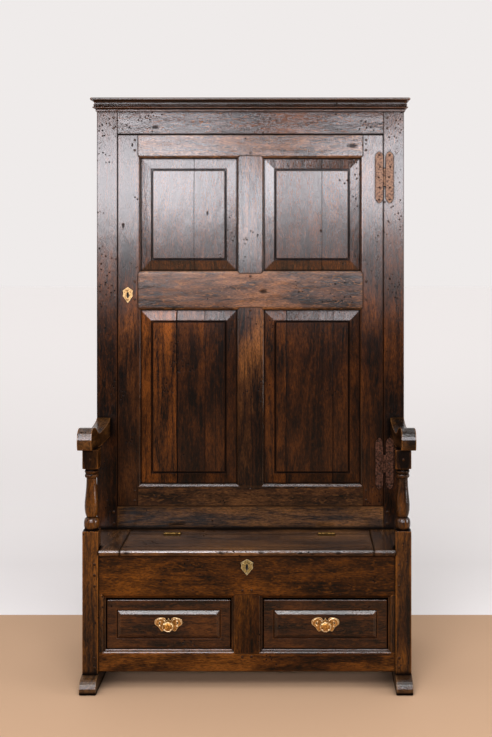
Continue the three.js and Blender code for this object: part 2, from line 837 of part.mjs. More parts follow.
// Lid hinge stations: the pin runs along X and the leaves lie in the seat's top face
const lidHinge = { diameter: lidHingeBarrel, pinDiameter: lidHingePin };
const lidSpans = knuckleSpans(lidHingeLength);
const lidHingeTurn = new THREE.Matrix4().makeBasis(
  new THREE.Vector3(0, -1, 0),
  new THREE.Vector3(0, 0, -1),
  new THREE.Vector3(1, 0, 0),
);

function lidHingeRecess(x, hingeY, top) {
  return block(
    [x - lidHingeLength / 2 - jointGap, x + lidHingeLength / 2 + jointGap],
    [hingeY - lidHingeLeaf - jointGap, hingeY + lidHingeLeaf + jointGap],
    [top - lidHingePlate - jointGap, top + cutOverrun],
  );
}

// Seat back strip with the fixed leaves
const stripX = shrunk([-lidBayHalf, lidBayHalf], jointGap);
const stripY = [lidBackY + lidBackGap, cupboardY - jointGap];
const fixedRecesses = hands.map(({ side }) => lidHingeRecess(side * lidHingeX, lidHingeY, seatHeight));
const strip = block(stripX, stripY, [seatUnder, seatHeight]).subtract(joined(fixedRecesses));
addPiece(settle, 'seat_back_strip', strip, darkOak);

for (const { hand, side } of hands) {
  const leaf = pinLeaf(buttPlate(-1, lidSpans.middle), lidSpans.outer, lidHinge);
  const mesh = addPiece(settle, `lid_hinge_fixed_${hand}`, leaf, agedBrass);
  mesh.position.set(side * lidHingeX, lidHingeY, seatHeight + lidHingeRise);
  mesh.quaternion.setFromRotationMatrix(lidHingeTurn);
}

// Lid: its own group turns about the hinge pins
const lid = new THREE.Group();
lid.name = 'lid';
lid.position.set(0, lidHingeY, seatHeight + lidHingeRise);
settle.add(lid);

function lidBoard() {
  const section = new THREE.Shape();
  const top = -lidHingeRise;
  const under = top - seatBoard + jointGap;
  const front = lidFrontY - lidHingeY;
  const back = lidBackY - lidHingeY;
  section.moveTo(back, under);
  section.lineTo(front + nosingRound, under);
  section.bezierCurveTo(front, under, front, top, front + nosingRound, top);
  section.lineTo(back, top);
  const recesses = hands.map(({ side }) => lidHingeRecess(side * lidHingeX, 0, top));
  return runAlongX(section, -lidWidth / 2, lidWidth / 2).subtract(joined(recesses));
}

addPiece(lid, 'seat_lid', lidBoard(), darkOak);

for (const { hand, side } of hands) {
  const leaf = boredLeaf(buttPlate(1, lidSpans.outer), lidSpans.middle, lidHinge);
  const mesh = addPiece(lid, `lid_hinge_leaf_${hand}`, leaf, agedBrass);
  mesh.position.x = side * lidHingeX;
  mesh.quaternion.setFromRotationMatrix(lidHingeTurn);
}

// Escutcheons: a plate with a peaked head, two ears and a drawn-in tip, pierced by the keyhole.
// The outline goes up the right edge from the tip, as shares of half the width and half the height.
const escutcheonEdgeShares = [[0.42, -0.62], [0.98, -0.1], [0.74, 0.2], [1, 0.55], [0.62, 0.72]];

function escutcheon(width, height) {
  const spot = ([across, up], side) => [side * across * (width / 2), up * (height / 2)];
  const [foot, hip, waist, ear, brow] = escutcheonEdgeShares;
  const outline = new THREE.Shape();
  outline.moveTo(0, -height / 2);
  outline.quadraticCurveTo(...spot(foot, 1), ...spot(hip, 1));
  outline.quadraticCurveTo(...spot(waist, 1), ...spot(ear, 1));
  outline.quadraticCurveTo(...spot(brow, 1), 0, height / 2);
  outline.quadraticCurveTo(...spot(brow, -1), ...spot(ear, -1));
  outline.quadraticCurveTo(...spot(waist, -1), ...spot(hip, -1));
  outline.quadraticCurveTo(...spot(foot, -1), 0, -height / 2);
  outline.holes.push(keyholeOutline());
  return sawnFront(outline, -escutcheonThickness, 0, 5);
}

const seatPlate = escutcheon(seatEscutcheonWidth, seatEscutcheonHeight);
addPiece(settle, 'seat_escutcheon', seatPlate, dullBrass).position.set(0, railY, seatKeyholeZ);

function lockCase() {
  const half = lockCaseWidth / 2;
  return block([-half, half], [0, lockCaseThickness], [-lockCaseHeight / 2, lockCaseHeight / 2]);
}

addPiece(settle, 'seat_lock_case', lockCase(), lockIron).position.set(0, railBackY, seatKeyholeZ);

// Door: its own frame has the door's front face at Y 0 and its lower edge at Z 0
const door = new THREE.Group();
door.name = 'door';
door.position.set(0, cupboardY, doorZ);
settle.add(door);

const doorRailFlats = {
  bottom: [0, doorBottomRail],
  lock: [doorLockRailRise, doorLockRailRise + doorLockRail],
  top: [doorHeight - doorTopRail, doorHeight],
};

function panelOpening(side, below, above) {
  const near = doorMuntin / 2 + doorMoulding;
  const far = doorFlatHalf - doorMoulding;
  return { x: ordered(side * near, side * far), z: shrunk([below[1], above[0]], doorMoulding) };
}

const lowerOpenings = hands.map(({ side }) => panelOpening(side, doorRailFlats.bottom, doorRailFlats.lock));
const upperOpenings = hands.map(({ side }) => panelOpening(side, doorRailFlats.lock, doorRailFlats.top));
const doorMember = { width: doorMoulding, y: 0, thickness: doorThickness };
const doorFace = mouldedFace(
  { x: [-doorHalf, doorHalf], z: [0, doorHeight] },
  [...lowerOpenings, ...upperOpenings],
  { ...doorMember, depth: doorMouldingDepth, steps: 1 },
);

// The groove for the panels runs round every opening, a little larger than the panel's tongue
const tongueY = doorMouldingDepth + panelGap;
const grooveReach = panelTongue + panelGap;
const grooves = joined([...lowerOpenings, ...upperOpenings].map(({ x, z }) => block(
  shrunk(x, -grooveReach),
  [tongueY - panelGap / 2, tongueY + panelTongueThickness + panelGap / 2],
  shrunk(z, -grooveReach),
)));

// Tenons of the rails go into the stiles, and those of the muntins into the rails
const tenonY = [(doorThickness - tenonThickness) / 2, (doorThickness + tenonThickness) / 2];
const tenonShoulder = doorMoulding + panelGap;

function railTenon(side, [bottom, top]) {
  const x = ordered(side * (doorFlatHalf - cutOverrun), side * (doorFlatHalf + doorTenon));
  return { x, y: tenonY, z: shrunk([bottom, top], tenonShoulder) };
}

function muntinTenon(way, shoulderZ) {
  const x = shrunk([-doorMuntin / 2, doorMuntin / 2], tenonShoulder);
  return { x, y: tenonY, z: ordered(shoulderZ - way * cutOverrun, shoulderZ + way * doorTenon) };
}

function tenonSolid({ x, y, z }) {
  return block(x, y, z);
}

function morticeSolid({ x, y, z }) {
  return block(shrunk(x, -jointGap), shrunk(y, -jointGap), shrunk(z, -jointGap));
}

const muntinTenons = {
  lowerFoot: muntinTenon(-1, doorRailFlats.bottom[1]),
  lowerHead: muntinTenon(1, doorRailFlats.lock[0]),
  upperFoot: muntinTenon(-1, doorRailFlats.lock[1]),
  upperHead: muntinTenon(1, doorRailFlats.top[0]),
};

const doorKeyholeX = -(doorHalf - doorStile / 2);

for (const { hand, side } of hands) {
  const name = side < 0 ? 'door_lock_stile' : 'door_hinge_stile';
  const outer = side < 0 ? 'left' : 'right';
  const opening = hands.findIndex((entry) => entry.hand === hand);
  const strips = [[lowerOpenings[opening], outer], [upperOpenings[opening], outer]];
  const x = ordered(side * (doorFlatHalf + jointGap / 2), side * doorHalf);
  const mortices = Object.values(doorRailFlats).map((flat) => morticeSolid(railTenon(side, flat)));
  const stile = moulded(x, [0, doorHeight], strips, doorFace, doorMember)
    .subtract(joined([grooves, ...mortices]));
  const finished = side < 0 ? stile.subtract(keyholeCut(doorKeyholeX, 0, doorKeyholeRise)) : stile;
  addPiece(door, name, finished, darkOak);
}

const doorRailStrips = {
  bottom: lowerOpenings.map((opening) => [opening, 'bottom']),
  lock: [
    ...lowerOpenings.map((opening) => [opening, 'top']),
    ...upperOpenings.map((opening) => [opening, 'bottom']),
  ],
  top: upperOpenings.map((opening) => [opening, 'top']),
};
const railMortices = {
  bottom: [muntinTenons.lowerFoot],
  lock: [muntinTenons.lowerHead, muntinTenons.upperFoot],
  top: [muntinTenons.upperHead],
};

for (const [place, flat] of Object.entries(doorRailFlats)) {
  const x = shrunk([-doorFlatHalf, doorFlatHalf], jointGap / 2);
  const tenons = hands.map(({ side }) => tenonSolid(railTenon(side, flat)));
  const rail = joined([moulded(x, flat, doorRailStrips[place], doorFace, doorMember), ...tenons])
    .subtract(joined([grooves.subtract(joined(tenons)), ...railMortices[place].map(morticeSolid)]));
  addPiece(door, `door_${place}_rail`, rail, darkOak);
}

const muntins = [
  { name: 'door_muntin_lower', openings: lowerOpenings, tenons: ['lowerFoot', 'lowerHead'] },
  { name: 'door_muntin_upper', openings: upperOpenings, tenons: ['upperFoot', 'upperHead'] },
];

for (const { name, openings, tenons } of muntins) {
  const strips = [[openings[0], 'right'], [openings[1], 'left']];
  const z = shrunk(openings[0].z, jointGap / 2 - doorMoulding);
  const shaft = moulded([-doorMuntin / 2, doorMuntin / 2], z, strips, doorFace, doorMember).subtract(grooves);
  const ends = tenons.map((key) => tenonSolid(muntinTenons[key]));
  addPiece(door, name, joined([shaft, ...ends]), darkOak);
}

// Panels: a tongue all round, a mitred bevel, a quirk at its head, and a small step up to the field
function fieldedPanel({ x, z }) {
  const tongueBack = tongueY + panelTongueThickness;
  const tongue = block(shrunk(x, -panelTongue), [tongueY, tongueBack], shrunk(z, -panelTongue));
  const bevelFront = tongueY - panelBevelRise;
  const bevel = { reach: panelBevel, rise: panelBevelRise, segments: 1 };
  const bevelled = workedBoard(x, z, bevelFront, tongueBack, bevel);
  const quirkInset = panelBevel - panelQuirk;
  const quirkY = [bevelFront - cutOverrun, bevelFront + panelQuirkDepth];
  const groove = block(shrunk(x, quirkInset), quirkY, shrunk(z, quirkInset));
  const field = block(shrunk(x, panelBevel), [bevelFront - panelFieldStep, tongueBack], shrunk(z, panelBevel));
  return joined([tongue, bevelled.subtract(groove), field]);
}

for (const [i, { hand }] of hands.entries()) {
  addPiece(door, `door_panel_upper_${hand}`, fieldedPanel(upperOpenings[i]), darkOak);
  addPiece(door, `door_panel_lower_${hand}`, fieldedPanel(lowerOpenings[i]), darkOak);
}

// Door hinges: fixed leaves on the stile of the frame, moving leaves on the door, one pin line for both
const doorPinX = doorBayHalf + hingeFromPost;
const doorPinY = cupboardY - hingeBarrel / 2;
const hSpans = knuckleSpans(hingeKnuckles);
const hHinge = { diameter: hingeBarrel, pinDiameter: hingePin };
const hingeRises = [['upper', doorHeight - hingeFromEnd], ['lower', hingeFromEnd]];

for (const [place, rise] of hingeRises) {
  const fixed = pinLeaf(hLeafPlate(1, hSpans.outer), hSpans.outer, hHinge);
  const fixedMesh = addPiece(settle, `door_hinge_fixed_${place}`, fixed, wroughtIron);
  fixedMesh.position.set(doorPinX, doorPinY, doorZ + rise);
  const moving = boredLeaf(hLeafPlate(-1, hSpans.middle), hSpans.middle, hHinge);
  const movingMesh = addPiece(door, `door_hinge_leaf_${place}`, moving, wroughtIron);
  movingMesh.position.set(doorPinX, doorPinY - cupboardY, rise);
}

const doorPlate = escutcheon(doorEscutcheonWidth, doorEscutcheonHeight);
addPiece(door, 'door_escutcheon', doorPlate, agedBrass).position.set(doorKeyholeX, 0, doorKeyholeRise);

// Door lock: a case on the inner face of the stile, and a bolt that slides out behind the frame
const lockCaseX = -(doorHalf - lockCaseInset - lockCaseWidth / 2);
const boltZ = [-boltHeight / 2, boltHeight / 2];
const boltY = [(lockCaseThickness - boltThickness) / 2, (lockCaseThickness + boltThickness) / 2];
const boltX = [-lockCaseWidth / 2, boltLength - lockCaseWidth / 2];
const boltWay = block(
  [boltX[0] - cutOverrun, boltX[1] + 2 * jointGap],
  shrunk(boltY, -jointGap),
  shrunk(boltZ, -jointGap),
);
const doorLockPlace = [lockCaseX, doorThickness, doorKeyholeRise];
const doorLockCase = addPiece(door, 'door_lock_case', lockCase().subtract(boltWay), lockIron);
doorLockCase.position.set(...doorLockPlace);
addPiece(door, 'door_lock_bolt', block(boltX, boltY, boltZ), lockIron).position.set(...doorLockPlace);

// Drawers: each group has the flat of the drawer front at Y 0 and its lower edge at Z 0
function drawerFront() {
  const x = [-drawerWidth / 2, drawerWidth / 2];
  const z = [0, drawerHeight];
  const arris = { reach: drawerArris, rise: drawerArris, segments: 3 };
  const slab = workedBoard(x, z, 0, drawerFrontThickness, arris);
  const quirkInset = fieldBorder - drawerQuirk;
  const groove = block(shrunk(x, quirkInset), [-cutOverrun, drawerQuirkDepth], shrunk(z, quirkInset));
  const bevel = { reach: fieldBevel, rise: fieldRise, segments: 1 };
  const field = workedBoard(
    shrunk(x, fieldBorder),
    shrunk(z, fieldBorder),
    -fieldRise,
    drawerFrontThickness / 2,
    bevel,
  );
  return slab.subtract(groove).add(field);
}

// The box behind the front: two sides, a back and a bottom of thin oak
function drawerBox() {
  const half = drawerWidth / 2 - drawerBoxInset;
  const length = drawerBackY - drawerY;
  const outside = block([-half, half], [drawerFrontThickness, length], [0, drawerBoxHeight]);
  const inside = block(
    shrunk([-half, half], drawerBoard),
    [drawerFrontThickness - cutOverrun, length - drawerBoard],
    [drawerBottomBoard, drawerBoxHeight + cutOverrun],
  );
  return outside.subtract(inside);
}

// Pull: a batwing plate with an eye in each wing, and an oval petalled knob on a waisted stem.
// The wing's edge goes from the middle of the head to the tip, as shares of half width and half height.
const wingEdgeShares = [[0.14, 0.62], [0.3, 1], [0.62, 1.05], [0.98, 0.72], [1, 0.1], [0.74, -0.3]];
const wingFootShares = [[0.5, -0.95], [0.24, -0.72], [0.1, -1.1]];
const eyeAcrossShare = 2 / 3;
const eyeUpShare = 1 / 4;

function batwingPlate() {
  const points = [[0, 1], ...wingEdgeShares, ...wingFootShares, [0, -1]];
  const mirrored = points.slice(1, -1).reverse().map(([across, up]) => [-across, up]);
  const loop = [...points, ...mirrored].map(([across, up]) => (
    new THREE.Vector2(across * (plateWidth / 2), up * (plateHeight / 2))
  ));
  const outline = new THREE.Shape();
  outline.moveTo(loop[0].x, loop[0].y);
  outline.splineThru([...loop.slice(1), loop[0]]);
  for (const side of [-1, 1]) {
    const eye = new THREE.Path();
    const across = side * eyeAcrossShare * (plateWidth / 2);
    eye.absarc(across, eyeUpShare * (plateHeight / 2), plateEye / 2, 0, Math.PI * 2, false);
    outline.holes.push(eye);
  }
  return outline;
}

// The knob's section from the plate to its face, as shares of its radius and of its reach
const knobRadiusShares = [0.55, 0.42, 0.6, 0.94, 1, 0.86, 0.5];
const knobReachShares = [0, 0.3, 0.5, 0.66, 0.8, 0.93, 1];

function petalledKnob() {
  const start = plateThickness / 2;
  const points = knobRadiusShares.map((share, i) => (
    new THREE.Vector2((share * knobWidth) / 2, start + knobReachShares[i] * (knobReach - start))
  ));
  const section = [new THREE.Vector2(0, start), ...points, new THREE.Vector2(0, knobReach)];
  const spun = new THREE.LatheGeometry(section, sidesPerPetal * knobPetals);
  const spots = spun.attributes.position;
  for (let i = 0; i < spots.count; i += 1) {
    const radius = Math.hypot(spots.getX(i), spots.getZ(i));
    const turn = Math.atan2(spots.getZ(i), spots.getX(i));
    const beyondStem = Math.max(0, radius - knobStem / 2) / (knobWidth / 2);
    const fluted = radius + beyondStem * knobFluting * Math.cos(knobPetals * turn);
    const across = fluted * Math.cos(turn);
    const up = fluted * Math.sin(turn) * (knobHeight / knobWidth);
    spots.setXYZ(i, across, spots.getY(i), up);
  }
  spun.rotateZ(Math.PI);
  return solidOf(spun);
}

for (const { hand, side } of hands) {
  const drawer = new THREE.Group();
  drawer.name = `drawer_${hand}`;
  drawer.position.set(side * (drawerBayInner + drawerBayOuter) / 2, drawerY, drawerZ);
  settle.add(drawer);
  addPiece(drawer, `drawer_front_${hand}`, drawerFront(), darkOak);
  addPiece(drawer, `drawer_box_${hand}`, drawerBox(), paleOak);
  const plate = sawnFront(batwingPlate(), -plateThickness, 0, 3);
  const pull = addPiece(drawer, `drawer_pull_${hand}`, plate.add(petalledKnob()), agedBrass);
  pull.position.set(0, -fieldRise, drawerHeight / 2);
}

export default settle;
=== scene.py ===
import math

import bpy
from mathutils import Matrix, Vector


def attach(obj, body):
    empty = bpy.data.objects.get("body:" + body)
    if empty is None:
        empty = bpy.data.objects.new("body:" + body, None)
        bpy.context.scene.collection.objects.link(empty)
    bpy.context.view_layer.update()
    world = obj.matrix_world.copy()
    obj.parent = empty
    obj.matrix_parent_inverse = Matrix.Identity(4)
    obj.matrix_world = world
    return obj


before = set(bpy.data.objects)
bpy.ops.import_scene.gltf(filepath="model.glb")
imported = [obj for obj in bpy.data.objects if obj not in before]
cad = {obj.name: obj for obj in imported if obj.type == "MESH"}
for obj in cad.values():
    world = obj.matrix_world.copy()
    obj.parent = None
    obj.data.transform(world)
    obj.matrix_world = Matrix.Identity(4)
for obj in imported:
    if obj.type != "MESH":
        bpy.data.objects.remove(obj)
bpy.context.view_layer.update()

# Camera
# It stands 3.9 m in front of the posts, 1.5 m high, a little to the right of the settle's
# middle, and level. The lens shift takes in the whole height, so the stiles stay upright.
camera = bpy.data.objects.new("camera", bpy.data.cameras.new("camera"))
bpy.context.scene.collection.objects.link(camera)
eye_height, eye_distance, eye_aside = 1.5, 4.134, 0.1755
camera.location = (eye_aside, -eye_distance, eye_height)
camera.rotation_euler = (math.radians(90), 0, 0)  # level, looking at the front
camera.data.lens = 57.566
camera.data.shift_x = -0.0733
camera.data.shift_y = -0.1811
bpy.context.scene.camera = camera
bpy.context.scene.view_settings.view_transform = "Standard"

# Light
# Wide windows behind the camera, which the waxed upper half of the cupboard gives back as a
# pale sheen, with a dimmer strip under them, a sloping light above them that the bevels and
# mouldings catch, a soft light over the seat, and a low one on each side.
lamps = (
    # name, place in metres, turn in degrees, width and height in metres, radiance in
    # watts per square metre and steradian
    ("window_left", (-1.575, -5.2, 1.94), (90, 0, 0), 2.25, 0.88, 14.5),
    ("window_middle", (-0.05, -5.2, 1.80), (90, 0, 0), 0.8, 0.60, 7.0),
    ("window_right", (1.43, -5.2, 1.99), (90, 0, 0), 2.15, 0.78, 13.0),
    ("window_foot", (-0.3, -5.2, 1.21), (90, 0, 0), 4.8, 0.56, 2.6),
    ("window_high", (-1.0, -5.2, 3.60), (90, 0, 0), 1.7, 1.10, 12.0),
    ("skylight", (-0.2, -4.3, 4.20), (52, 0, 0), 4.6, 0.7, 11.0),
    ("ceiling", (0.0, -0.9, 4.4), (0, 0, 0), 3.4, 2.4, 3.0),
    ("left_fill", (-3.9, -1.6, 1.9), (82, 0, -68), 1.4, 2.2, 2.6),
    ("right_fill", (3.9, -1.4, 1.40), (90, 0, 70), 1.4, 2.0, 7.5),
)
overcast = (0.985, 0.95, 1.0)
for name, place, turn, width, height, radiance in lamps:
    lamp = bpy.data.lights.new(name, "AREA")
    lamp.shape = "RECTANGLE"
    lamp.size, lamp.size_y = width, height
    lamp.energy = radiance * math.pi * width * height
    if name.startswith("window"):
        lamp.color = overcast
    light = bpy.data.objects.new(name, lamp)
    bpy.context.scene.collection.objects.link(light)
    light.location = place
    light.rotation_euler = [math.radians(t) for t in turn]


def add(tree, kind, inputs=None, **settings):
    """Adds a node with its settings, and gives each input a value or a link."""
    node = tree.nodes.new(kind)
    for key, value in settings.items():
        setattr(node, key, value)
    for socket, value in (inputs or {}).items():
        if isinstance(value, bpy.types.NodeSocket):
            tree.links.new(value, node.inputs[socket])
        else:
            node.inputs[socket].default_value = value
    return node


def colour(code):
    """An sRGB hex colour as linear RGBA."""
    parts = [int(code[i : i + 2], 16) / 255 for i in (1, 3, 5)]
    return [
        *(p / 12.92 if p <= 0.04045 else ((p + 0.055) / 1.055) ** 2.4 for p in parts),
        1.0,
    ]


# The wall behind the settle is pale and the room in front of it is dimmer.
pale_wall, dim_room = "#efebea", "#3a3634"
world = bpy.data.worlds.new("studio")
bpy.context.scene.world = world
world.use_nodes = True
tree = world.node_tree
tree.nodes.clear()
direction = add(tree, "ShaderNodeTexCoord").outputs["Generated"]
depth = add(tree, "ShaderNodeSeparateXYZ", {0: direction}).outputs["Y"]
behind = add(
    tree,
    "ShaderNodeMapRange",
    {"Value": depth, "From Min": -0.1, "From Max": 0.5, "To Min": 0.0, "To Max": 1.0},
).outputs[0]
room = add(
    tree,
    "ShaderNodeMix",
    {"Factor": behind, "A": colour(dim_room), "B": colour(pale_wall)},
    data_type="RGBA",
)
shine = add(tree, "ShaderNodeBackground", {"Color": room.outputs["Result"]})
add(tree, "ShaderNodeOutputWorld", {"Surface": shine.outputs[0]})

# Floor
# A plain sand-coloured floor under and before the settle, and pale ground behind it that
# meets the pale wall.
floor_width = 24
wall_foot = 0.52
for name, front, back, tint in (
    ("floor", -9.0, wall_foot, "#bd9b7d"),
    ("ground_behind", wall_foot, 30.0, pale_wall),
):
    bpy.ops.mesh.primitive_plane_add(size=1, location=(0, 0, 0))
    floor = bpy.context.object
    floor.name = name
    for corner in floor.data.vertices:
        depth = front if corner.co.y < 0 else back
        corner.co = Vector((corner.co.x * floor_width, depth, 0))
    ground = bpy.data.materials.new(name)
    ground.use_nodes = True
    tree = ground.node_tree
    shader = tree.nodes["Principled BSDF"]
    shader.inputs["Base Color"].default_value = colour(tint)
    shader.inputs["Roughness"].default_value = 0.9
    shader.inputs["Specular IOR Level"].default_value = 0.2
    if name == "ground_behind":
        # It glows a little where it is far from the lamps, so that it stays even.
        fading_length, far_glow, near_glow = 2.9, 0.62, -0.33
        far = add(tree, "ShaderNodeTexCoord").outputs["Object"]
        far = add(tree, "ShaderNodeSeparateXYZ", {0: far}).outputs["Y"]
        glow = add(
            tree, "ShaderNodeMath", {0: far, 1: -1 / fading_length}, operation="MULTIPLY"
        ).outputs[0]
        glow = add(tree, "ShaderNodeMath", {0: glow}, operation="EXPONENT").outputs[0]
        glow = add(
            tree,
            "ShaderNodeMath",
            {0: glow, 1: near_glow - far_glow, 2: far_glow},
            operation="MULTIPLY_ADD",
            use_clamp=True,
        ).outputs[0]
        shader.inputs["Emission Color"].default_value = colour(tint)
        tree.links.new(glow, shader.inputs["Emission Strength"])
    else:
        # Painted shadow: its colour is darker where little light gets in under the settle.
        unlit = "#2e2016"
        light = add(
            tree, "ShaderNodeAmbientOcclusion", {"Distance": 0.14}, samples=12
        ).outputs["AO"]
        light = add(
            tree, "ShaderNodeMapRange", {"Value": light, "From Min": 0.10, "From Max": 0.62}
        ).outputs[0]
        shaded = add(
            tree,
            "ShaderNodeMix",
            {"Factor": light, "A": colour(unlit), "B": colour(tint)},
            data_type="RGBA",
        ).outputs["Result"]
        tree.links.new(shaded, shader.inputs["Base Color"])
    floor.data.materials.append(ground)

# Sledge feet
# Two long oak bearers that carry the whole settle, sawn from a thick plank with the grain
# front to back. Everyday floor washing has left them drier and greyer than the rest.


def empty_material(name):
    """A new material, its node tree, and the place on the piece that is being coloured."""
    material = bpy.data.materials.new(name)
    material.use_nodes = True
    tree = material.node_tree
    tree.nodes.clear()
    return material, tree, add(tree, "ShaderNodeTexCoord").outputs["Object"]


def distance_to(tree, place, spot, stretch):
    """How far a place is from a spot, in metres drawn out or shortened along each axis."""
    away = add(
        tree,
        "ShaderNodeVectorMath",
        {0: place, 1: tuple(-part for part in spot)},
        operation="ADD",
    ).outputs[0]
    away = add(
        tree, "ShaderNodeVectorMath", {0: away, 1: stretch}, operation="MULTIPLY"
    ).outputs[0]
    return add(
        tree, "ShaderNodeVectorMath", {0: away}, operation="LENGTH"
    ).outputs["Value"]


def old_oak(
    name,
    along,
    shift,
    shades=("#060301", "#2f1607", "#703c11"),
    warmth=0.5,
    rays=0.0,
    boards=(),
    across="X",
    gloss=0.42,
    satin=0.14,
    film=1.6,
    wear=0.55,
    worm=0.4,
    wax=1.0,
    low_wax=0.14,
    tones=(0.65, 1.6),
    lean=(0.0, 0.0),
    golden=0.0,
    reach=0.018,
    joint_and_gap_shade=0.0,
    gap_shade_width=0.0045,
    marks=(),
    bored=(),
):
    """Riven and planed English oak, darkened by age and waxed for three hundred years.

    It shows growth rings of about 9 mm drawn out along the grain, dark open pores, pale
    rays on quarter-sawn faces, black wax and painted shade in the corners, pale rubbed
    arrises and worm.

    along is the axis of the grain, and shift the place in the tree that it is cut from.
    shades are its dark, middle and warm colours. warmth, rays, wear and worm are how much
    of each it shows. boards are the seams between boards on the axis that across names,
    each with half its width, and the first board is more golden by golden. gloss is how
    rough the wood is and satin how rough the wax on it, film is the wax's IOR, wax is how
    much of it the upper part has, and low_wax the share of that near the floor. tones are
    how light the wood is near the floor and near the cornice. lean is how far the face
    has warped to the side and upwards. reach is how far black wax and painted shade come
    out of the corners, and joint_and_gap_shade how black the edges are, gap_shade_width
    wide: dark joints where the piece is joined, and painted shade where it meets a gap.
    marks are its knots and bruises, and spots of painted shade where a keyhole opens or
    another part shades it, and bored its worst worm: places and half widths.
    """
    material, tree, place = empty_material(name)
    axes = add(tree, "ShaderNodeSeparateXYZ", {0: place}).outputs

    # Each board of a jointed panel is cut from another place of the tree, and its seam
    # wanders by up to 3 mm
    waver = 0.006
    drift = add(
        tree,
        "ShaderNodeTexNoise",
        {"Vector": place, "Scale": 1 / 0.25, "Detail": 2.0},
    ).outputs[0]
    wander = add(
        tree,
        "ShaderNodeMath",
        {0: drift, 1: waver, 2: axes[across]},
        operation="MULTIPLY_ADD",
    ).outputs[0]
    count, seam = 0.0, 0.0
    for edge, half in boards:
        edge += waver / 2
        past = add(
            tree, "ShaderNodeMath", {0: wander, 1: edge}, operation="GREATER_THAN"
        ).outputs[0]
        count = add(tree, "ShaderNodeMath", {0: past, 1: count}, operation="ADD").outputs[0]
        gap = add(
            tree, "ShaderNodeMath", {0: wander, 1: edge, 2: half}, operation="COMPARE"
        ).outputs[0]
        seam = add(tree, "ShaderNodeMath", {0: gap, 1: seam}, operation="MAXIMUM").outputs[0]
    from_board_to_board = (0.31, 0.17, 1.7)
    cut = add(tree, "ShaderNodeCombineXYZ", {0: count, 1: count, 2: count}).outputs[0]
    cut = add(
        tree,
        "ShaderNodeVectorMath",
        {0: cut, 1: from_board_to_board, 2: place},
        operation="MULTIPLY_ADD",
    ).outputs[0]
    turn = {"X": (0, math.pi / 2, 0), "Y": (math.pi / 2, 0, 0), "Z": (0, 0, 0)}[along]
    plank = add(
        tree, "ShaderNodeMapping", {"Vector": cut, "Location": shift, "Rotation": turn}
    ).outputs[0]

    def drawn(length):
        """The plank's own space, shortened along the grain so that a pattern is drawn out."""
        return add(
            tree, "ShaderNodeMapping", {"Vector": plank, "Scale": (1, 1, 1 / length)}
        ).outputs[0]

    # Growth rings, about 9 mm apart: a wave that goes up and down as slow noise rises
    wave = 46.0
    swell = add(
        tree,
        "ShaderNodeTexNoise",
        {"Vector": drawn(11), "Scale": 1 / 0.075, "Detail": 2.5, "Distortion": 0.5},
    ).outputs[0]
    rings = add(tree, "ShaderNodeMath", {0: swell, 1: wave}, operation="MULTIPLY").outputs[0]
    rings = add(tree, "ShaderNodeMath", {0: rings}, operation="SINE").outputs[0]
    rings = add(
        tree, "ShaderNodeMath", {0: rings, 1: 0.5, 2: 0.5}, operation="MULTIPLY_ADD"
    ).outputs[0]
    # Streaks 4 mm wide, and open pores drawn 2 mm wide, because the real ones, a third
    # of a millimetre wide, are too fine to show
    streaks = add(
        tree,
        "ShaderNodeTexNoise",
        {"Vector": drawn(8), "Scale": 1 / 0.0036, "Detail": 5.0, "Roughness": 0.68},
    ).outputs[0]
    pores = add(
        tree,
        "ShaderNodeTexNoise",
        {"Vector": drawn(5), "Scale": 1 / 0.0022, "Detail": 2.0, "Roughness": 0.6},
    ).outputs[0]
    flecks = add(
        tree,
        "ShaderNodeMapRange",
        {"Value": pores, "From Min": 0.47, "From Max": 0.32, "To Min": 0.0, "To Max": 0.55},
    ).outputs[0]
    pores = add(
        tree,
        "ShaderNodeMapRange",
        {"Value": pores, "From Min": 0.49, "From Max": 0.62},
    ).outputs[0]
    # Patina in patches a hand wide
    patina = add(
        tree,
        "ShaderNodeTexNoise",
        {"Vector": drawn(2.2), "Scale": 1 / 0.14, "Detail": 5.0, "Roughness": 0.62},
    ).outputs[0]

    # The three together say how light the wood is
    ring_share, patina_share = 0.20, 0.8
    grain = add(
        tree, "ShaderNodeMath", {0: rings, 1: ring_share, 2: streaks}, operation="MULTIPLY_ADD"
    ).outputs[0]
    grain = add(
        tree, "ShaderNodeMath", {0: patina, 1: patina_share, 2: grain}, operation="MULTIPLY_ADD"
    ).outputs[0]
    light = add(
        tree, "ShaderNodeMapRange", {"Value": grain, "From Min": 0.78, "From Max": 1.28}
    ).outputs[0]
    dark, mid, warm = (colour(s) for s in shades)
    wood = add(
        tree, "ShaderNodeMix", {"Factor": light, "A": dark, "B": mid}, data_type="RGBA"
    ).outputs["Result"]
    # Warm patches, fainter on the upper part, with warm flecks all over
    fleck_share = 0.30
    glow = add(
        tree,
        "ShaderNodeMapRange",
        {"Value": patina, "From Min": 0.42, "From Max": 0.66, "To Max": warmth},
    ).outputs[0]
    faded = add(
        tree,
        "ShaderNodeMapRange",
        {"Value": axes["Z"], "From Min": 1.12, "From Max": 1.50, "To Min": 1.0, "To Max": 0.35},
    ).outputs[0]
    glow = add(tree, "ShaderNodeMath", {0: glow, 1: faded}, operation="MULTIPLY").outputs[0]
    glow = add(
        tree, "ShaderNodeMath", {0: flecks, 1: fleck_share, 2: glow}, operation="MULTIPLY_ADD"
    ).outputs[0]
    first = add(
        tree, "ShaderNodeMapRange", {"Value": count, "To Min": golden, "To Max": 0.0}
    ).outputs[0]
    glow = add(tree, "ShaderNodeMath", {0: glow, 1: first}, operation="ADD").outputs[0]
    glow = add(
        tree, "ShaderNodeMath", {0: glow, 1: light}, operation="MULTIPLY"
    ).outputs[0]
    wood = add(
        tree, "ShaderNodeMix", {"Factor": glow, "A": wood, "B": warm}, data_type="RGBA"
    ).outputs["Result"]
